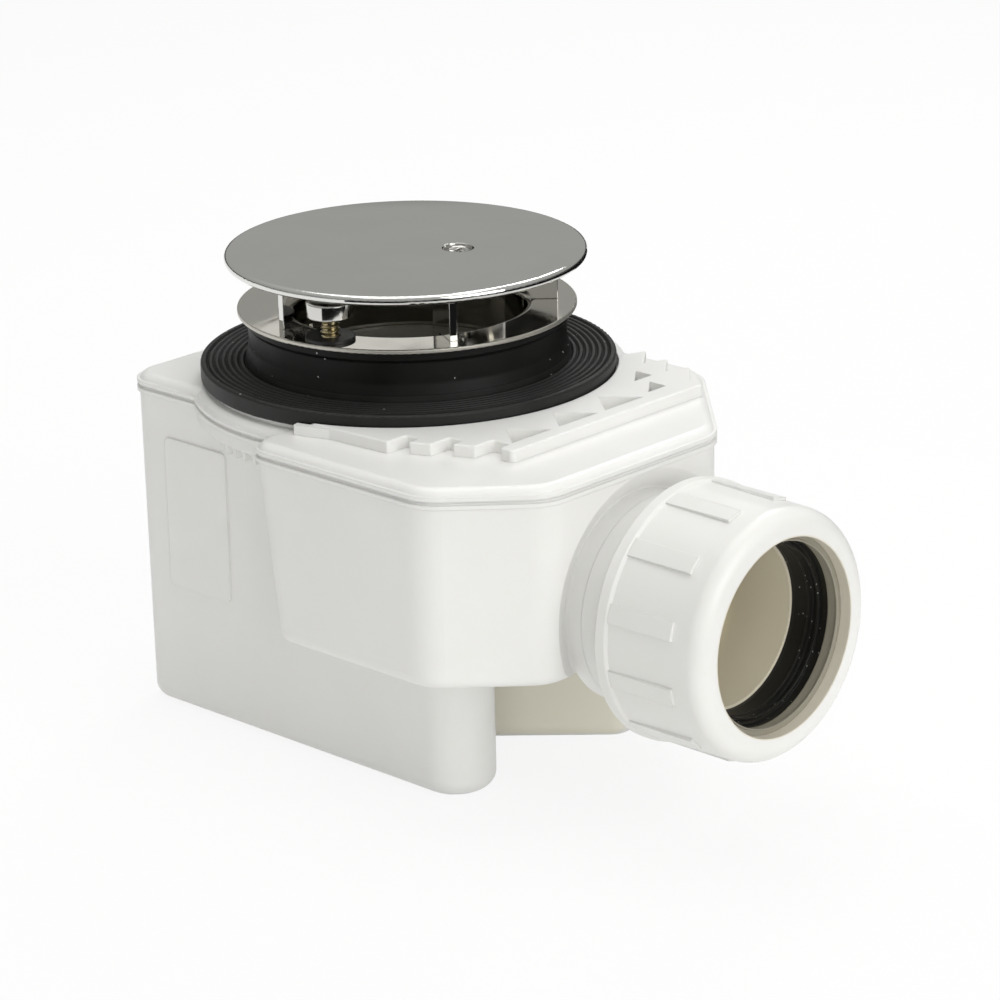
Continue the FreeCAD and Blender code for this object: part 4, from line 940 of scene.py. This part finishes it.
@dataclass
class CoverScrew:
    """Small recessed cross screw of the cover.

    Args:
        centre: Place of the screw.
        seat: Height of its seat in the cover.
        top: Top of its head.
        radius: Radius of the head.
        shank: Radius of the shank.
        low: Lower end of the shank.
        slot_long: Half length of a cross slot.
        slot_wide: Width of a cross slot.
        slot_deep: Depth of a cross slot.
        turn: Direction of the first slot in degrees.
        tip: Chamfer of the shank's end.
        rim: Height of the head's upright rim.
        dome: How far the shoulder of the head's dome stands in from the rim and below the top.
        crown: How far the flat of the dome stands in from the rim.
        fine_edge: Width of the bevel on its edges.
        sides: Sides of the screw.
    """

    centre: Pair = (16.75 * MM, 5.9 * MM)
    seat: float = 149.3 * MM
    top: float = 150.4 * MM
    radius: float = 4.7 * MM
    shank: float = 2.0 * MM
    low: float = 141.9 * MM
    slot_long: float = 3.1 * MM
    slot_wide: float = 1.35 * MM
    slot_deep: float = 0.9 * MM
    turn: float = 20.0
    tip: float = 0.4 * MM
    rim: float = 0.25 * MM
    dome: Pair = (0.5 * MM, 0.3 * MM)
    crown: float = 1.3 * MM
    fine_edge: float = 0.12 * MM
    sides: int = 64

    def build(self, finishes: dict[str, bpy.types.Material]) -> None:
        """Model the screw and let it stand for the CAD node.

        Args:
            finishes: Materials by name.
        """
        screw = Modeller.lathe("cross_screw", self.centre, [
            (self.shank - self.tip, self.low),
            (self.shank, self.low + self.tip),
            (self.shank, self.seat),
            (self.radius, self.seat),
            (self.radius, self.seat + self.rim),
            (self.radius - self.dome[0], self.top - self.dome[1]),
            (self.radius - self.crown, self.top),
        ], self.sides)
        for quarter in (0.0, 90.0):
            Modeller.clear()
            bpy.ops.mesh.primitive_cube_add(
                size=1.0,
                location=(*self.centre, self.top),
                rotation=(0.0, 0.0, math.radians(self.turn + quarter)),
                scale=(2.0 * self.slot_long, self.slot_wide, 2.0 * self.slot_deep))
            Modeller.carve(screw, bpy.context.object)
        Modeller.round_edges(screw, self.fine_edge, angle=40.0, segments=2)
        Modeller.smooth(screw, angle=32.0)
        screw.data.materials.clear()
        screw.data.materials.append(finishes[CROSS.name])
        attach(screw, Body.DRAIN.value)
        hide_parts("cover_screw")
        log.info("cover screw modelled")


@dataclass(frozen=True)
class Lip:
    """Fine ring round the outlet axis.

    Args:
        name: Name of the piece.
        along: Length along the outlet in metres.
        radius: Radius of the ring in metres.
        thick: Radius of its section in metres.
        body: Body that carries it.
        finish: Finish of the ring.
        slot: Material slot of the ring; not used.
    """

    name: str
    along: float
    radius: float
    thick: float
    body: Body
    finish: Finish
    slot: Slot


@dataclass
class OutletLips:
    """Fine lips inside the pipe seal and a bead on the slip ring.

    Args:
        axis: Place of the outlet axis across and above the frame's origin.
        flat: Width of a lip's section over its height.
        sides: Sides of a lip round the axis.
        section_sides: Sides of a lip's section.
        lips: The lips.
    """

    axis: Pair = OUTLET_AXIS
    flat: float = 1.5
    sides: int = 120
    section_sides: int = 10
    lips: tuple[Lip, ...] = (
        Lip("seal_lip_inner", 146.6 * MM, 26.2 * MM, 0.20 * MM, Body.DRAIN, SEAL_RUBBER, Slot.RUBBER),
        Lip("seal_lip_outer", 150.4 * MM, 26.2 * MM, 0.24 * MM, Body.DRAIN, SEAL_RUBBER, Slot.RUBBER),
        Lip("slip_ring_bead", 155.8 * MM, 28.1 * MM, 0.28 * MM, Body.RING, BEIGE, Slot.BEIGE),
    )

    def build(self, finishes: dict[str, bpy.types.Material]) -> None:
        """Model the lips.

        Args:
            finishes: Materials by name.
        """
        for lip in self.lips:
            Modeller.clear()
            bpy.ops.mesh.primitive_torus_add(
                major_segments=self.sides,
                minor_segments=self.section_sides,
                major_radius=lip.radius,
                minor_radius=lip.thick,
                location=(lip.along, *self.axis),
                rotation=(0.0, math.pi / 2, 0.0))
            piece = bpy.context.object
            piece.name = lip.name
            Modeller.settle(piece)
            bpy.ops.object.mode_set(mode="EDIT")
            bpy.ops.mesh.select_all(action="SELECT")
            bpy.ops.transform.resize(value=(self.flat, 1.0, 1.0), center_override=(lip.along, *self.axis))
            bpy.ops.object.mode_set(mode="OBJECT")
            Modeller.smooth(piece, angle=60.0)
            piece.data.materials.append(finishes[lip.finish.name])
            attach(piece, lip.body.value)
        log.info("outlet lips: %d pieces", len(self.lips))


@dataclass
class StubThread:
    """Thread ridge on the outlet stub, seen when the nut is unscrewed.

    Args:
        axis: Place of the outlet axis across and above the frame's origin.
        start: Length along the outlet at which the ridge starts.
        end: Length along the outlet at which it ends.
        pitch: Rise of one turn.
        root: Radius of the ridge's root.
        crest: Radius of the ridge's crest.
        steps: Steps of one turn.
    """

    axis: Pair = OUTLET_AXIS
    start: float = 122.6 * MM
    end: float = 146.6 * MM
    pitch: float = 4.0 * MM
    root: float = 31.3 * MM
    crest: float = 31.66 * MM
    steps: int = 96

    def build(self, finishes: dict[str, bpy.types.Material]) -> None:
        """Model the ridge.

        Args:
            finishes: Materials by name.
        """
        turns = (self.end - self.start) / self.pitch
        ridge = Modeller.helix("stub_thread", turns, self.pitch, self.root, self.crest, self.steps)
        ridge.rotation_euler = (0.0, math.pi / 2, 0.0)
        ridge.location = (self.start, *self.axis)
        Modeller.settle(ridge)
        Modeller.smooth(ridge, angle=30.0)
        ridge.data.materials.append(finishes[WHITE.name])
        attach(ridge, Body.DRAIN.value)
        log.info("stub thread: %.1f turns", turns)


@dataclass
class Lamp:
    """Soft lamp that faces the drain.

    Args:
        name: Name of the lamp.
        place: Position in metres.
        size: Side of the lamp in metres.
        power: Power in watts.
        mirrored: Whether shiny surfaces show the lamp.
    """

    name: str
    place: Spot
    size: float
    power: float
    mirrored: bool = True

    def build(self, target: Spot) -> None:
        """Add the lamp.

        Args:
            target: Point that the lamp faces.
        """
        data = bpy.data.lights.new(self.name, "AREA")
        data.energy = self.power
        data.size = self.size
        lamp = bpy.data.objects.new(self.name, data)
        lamp.location = self.place
        aim = Vector(target) - Vector(self.place)
        lamp.rotation_euler = aim.to_track_quat("-Z", "Y").to_euler()
        lamp.visible_glossy = self.mirrored
        lamp.visible_camera = False
        bpy.context.scene.collection.objects.link(lamp)


@dataclass
class Card:
    """Dark card that lies round the set, in front and at the right, which only shiny surfaces show.

    Args:
        name: Name of the card.
        inner: Inner radius in metres.
        outer: Outer radius in metres.
        height: Height over the floor in metres.
        level: Brightness of the card.
        ends: Left and right end, in degrees from the camera's direction.
        sides: Number of sides of the whole ring.
    """

    name: str = "dark_card"
    inner: float = 0.30
    outer: float = 5.0
    height: float = 0.004
    level: float = 0.010
    ends: Pair = (-38.0, 160.0)
    sides: int = 96

    def build(self, azimuth: float) -> None:
        """Add the card.

        Args:
            azimuth: Camera direction round the drain axis in degrees.
        """
        Modeller.clear()
        bpy.ops.mesh.primitive_circle_add(
            vertices=self.sides, radius=self.inner, fill_type="NOTHING", location=(0.0, 0.0, self.height))
        card = bpy.context.object
        card.name = self.name
        self._open(card, azimuth)
        bpy.ops.object.mode_set(mode="EDIT")
        bpy.ops.mesh.select_all(action="SELECT")
        bpy.ops.mesh.extrude_edges_move()
        share = self.outer / self.inner
        bpy.ops.transform.resize(value=(share, share, 1.0), center_override=(0.0, 0.0, self.height))
        bpy.ops.object.mode_set(mode="OBJECT")
        Modeller.settle(card)
        shader = Shader.new(self.name + "_paint")
        glow = shader.add("Emission")
        glow.inputs["Color"].default_value = (self.level, self.level, self.level, 1.0)
        output = shader.material.node_tree.nodes["Material Output"]
        shader.link(glow.outputs["Emission"], output.inputs["Surface"])
        card.data.materials.append(shader.material)
        card.visible_camera = False
        card.visible_diffuse = False
        card.visible_shadow = False

    def _open(self, card: bpy.types.Object, azimuth: float) -> None:
        """Remove the part of the first ring that lies beyond the ends.

        Args:
            card: Card to open.
            azimuth: Camera direction round the drain axis in degrees.
        """
        az = math.radians(azimuth)
        front = Vector((math.sin(az), -math.cos(az)))
        right = Vector((math.cos(az), math.sin(az)))
        left_end, right_end = (math.radians(end) for end in self.ends)
        bpy.ops.object.mode_set(mode="EDIT")
        bpy.ops.mesh.select_all(action="DESELECT")
        bpy.ops.object.mode_set(mode="OBJECT")
        for vertex in card.data.vertices:
            turn = math.atan2(vertex.co.xy.dot(right), vertex.co.xy.dot(front))
            vertex.select = not left_end <= turn <= right_end
        bpy.ops.object.mode_set(mode="EDIT")
        bpy.ops.mesh.delete(type="VERT")
        bpy.ops.object.mode_set(mode="OBJECT")


@dataclass
class Studio:
    """Floor, light and camera of the picture.

    Args:
        azimuth: Camera direction round the drain axis in degrees.
        elevation: Camera height angle in degrees.
        roll: Camera roll in degrees.
        distance: Camera distance from its target in metres.
        target: Point that the camera looks at.
        lens: Focal length in millimetres.
        sensor: Width of the sensor in millimetres.
        lamps: Lamps of the set.
        card: Dark card on the floor that only shiny surfaces show.
        floor_size: Side of the floor in metres.
        floor_colour: Colour of the floor.
        floor_rough: Roughness of the floor.
        floor_white: Share of plain white that the floor shows to the eye and to shiny surfaces.
        ambient: Strength of the surroundings.
        tint: Factor on the blue of the surroundings.
        bands: Sine of the height angle and brightness of each band of the surroundings.
    """

    azimuth: float = 43.73
    elevation: float = 19.10
    roll: float = -1.20
    distance: float = 1.26956
    target: Spot = (0.01980, 0.01894, 0.06674)
    lens: float = 145.49
    sensor: float = 36.0
    lamps: list[Lamp] = field(default_factory=lambda: [
        Lamp("right", (2.10, -0.03, 1.03), 1.5, 19.5),
        Lamp("low_front", (1.97, -1.90, 0.45), 1.5, 16.8, mirrored=False),
        Lamp("top", (-0.1, 0.1, 1.3), 1.0, 6.0),
        Lamp("back", (-0.4, 0.9, 1.0), 0.4, 2.9),
    ])
    card: Card = field(default_factory=Card)
    floor_size: float = 12.0
    floor_colour: Colour = (0.93, 0.93, 0.92)
    floor_rough: float = 0.9
    floor_white: float = 0.86
    ambient: float = 0.525
    tint: float = 0.97
    bands: tuple[Pair, ...] = ((0.0, 0.03), (0.10, 0.06), (0.17, 0.72), (0.50, 0.77), (0.80, 1.0))

    def build(self) -> None:
        """Set up the floor, the light and the camera."""
        self.camera()
        self.floor()
        self.card.build(self.azimuth)
        self.world()
        for lamp in self.lamps:
            lamp.build(self.target)
        bpy.context.scene.view_settings.view_transform = "Standard"
        log.info("studio ready")

    def camera(self) -> None:
        """Add the camera at the photograph's angle."""
        az, el, roll = (math.radians(angle) for angle in (self.azimuth, self.elevation, self.roll))
        back = Vector((math.sin(az) * math.cos(el), -math.cos(az) * math.cos(el), math.sin(el)))
        right = Vector((math.cos(az), math.sin(az), 0.0))
        up = back.cross(right)
        side = right * math.cos(roll) + up * math.sin(roll)
        rise = up * math.cos(roll) - right * math.sin(roll)
        data = bpy.data.cameras.new("camera")
        data.lens = self.lens
        data.sensor_width = self.sensor
        cam = bpy.data.objects.new("camera", data)
        turn = Matrix((side, rise, back)).transposed().to_4x4()
        cam.matrix_world = Matrix.Translation(Vector(self.target) + back * self.distance) @ turn
        bpy.context.scene.collection.objects.link(cam)
        bpy.context.scene.camera = cam

    def floor(self) -> None:
        """Add the pale floor, which keeps a soft shadow."""
        Modeller.clear()
        bpy.ops.mesh.primitive_plane_add(size=self.floor_size, location=(0.0, 0.0, 0.0))
        plane = bpy.context.object
        plane.name = "floor"
        shader = Shader.new("pale_floor")
        shader.surface.inputs["Base Color"].default_value = (*self.floor_colour, 1.0)
        shader.surface.inputs["Roughness"].default_value = self.floor_rough
        glow = shader.add("Emission")
        glow.inputs["Strength"].default_value = 1.0
        path = shader.add("LightPath")
        direct = shader.maths("MAXIMUM", path.outputs["Is Camera Ray"], path.outputs["Is Glossy Ray"])
        seen = shader.maths("MAXIMUM", direct, path.outputs["Is Transmission Ray"])
        mix = shader.add("MixShader")
        shader.link(shader.maths("MULTIPLY", seen, self.floor_white), mix.inputs["Fac"])
        shader.link(shader.surface.outputs["BSDF"], mix.inputs[1])
        shader.link(glow.outputs["Emission"], mix.inputs[2])
        output = shader.material.node_tree.nodes["Material Output"]
        shader.link(mix.outputs["Shader"], output.inputs["Surface"])
        plane.data.materials.append(shader.material)

    def world(self) -> None:
        """Add surroundings that are dark at the horizon, grey above it and pale overhead."""
        world = bpy.data.worlds.new("surroundings")
        bpy.context.scene.world = world
        world.use_nodes = True
        nodes, links = world.node_tree.nodes, world.node_tree.links
        back = nodes["Background"]
        place = nodes.new("ShaderNodeTexCoord")
        split = nodes.new("ShaderNodeSeparateXYZ")
        ramp = nodes.new("ShaderNodeValToRGB")
        steps = ramp.color_ramp.elements
        for number, (height, level) in enumerate(self.bands):
            step = steps[number] if number < 2 else steps.new(height)
            step.position = height
            step.color = (level, level, level * self.tint, 1.0)
        links.new(place.outputs["Generated"], split.inputs["Vector"])
        links.new(split.outputs["Z"], ramp.inputs["Fac"])
        links.new(ramp.outputs["Color"], back.inputs["Color"])
        back.inputs["Strength"].default_value = self.ambient


def main() -> None:
    """Build the drain's looks in order."""
    logging.basicConfig(level=logging.INFO)
    finishes = CadDress().dress()
    ClampScrews().build(finishes)
    CoverScrew().build(finishes)
    OutletLips().build(finishes)
    StubThread().build(finishes)
    Studio().build()


if __name__ == "__main__":
    main()
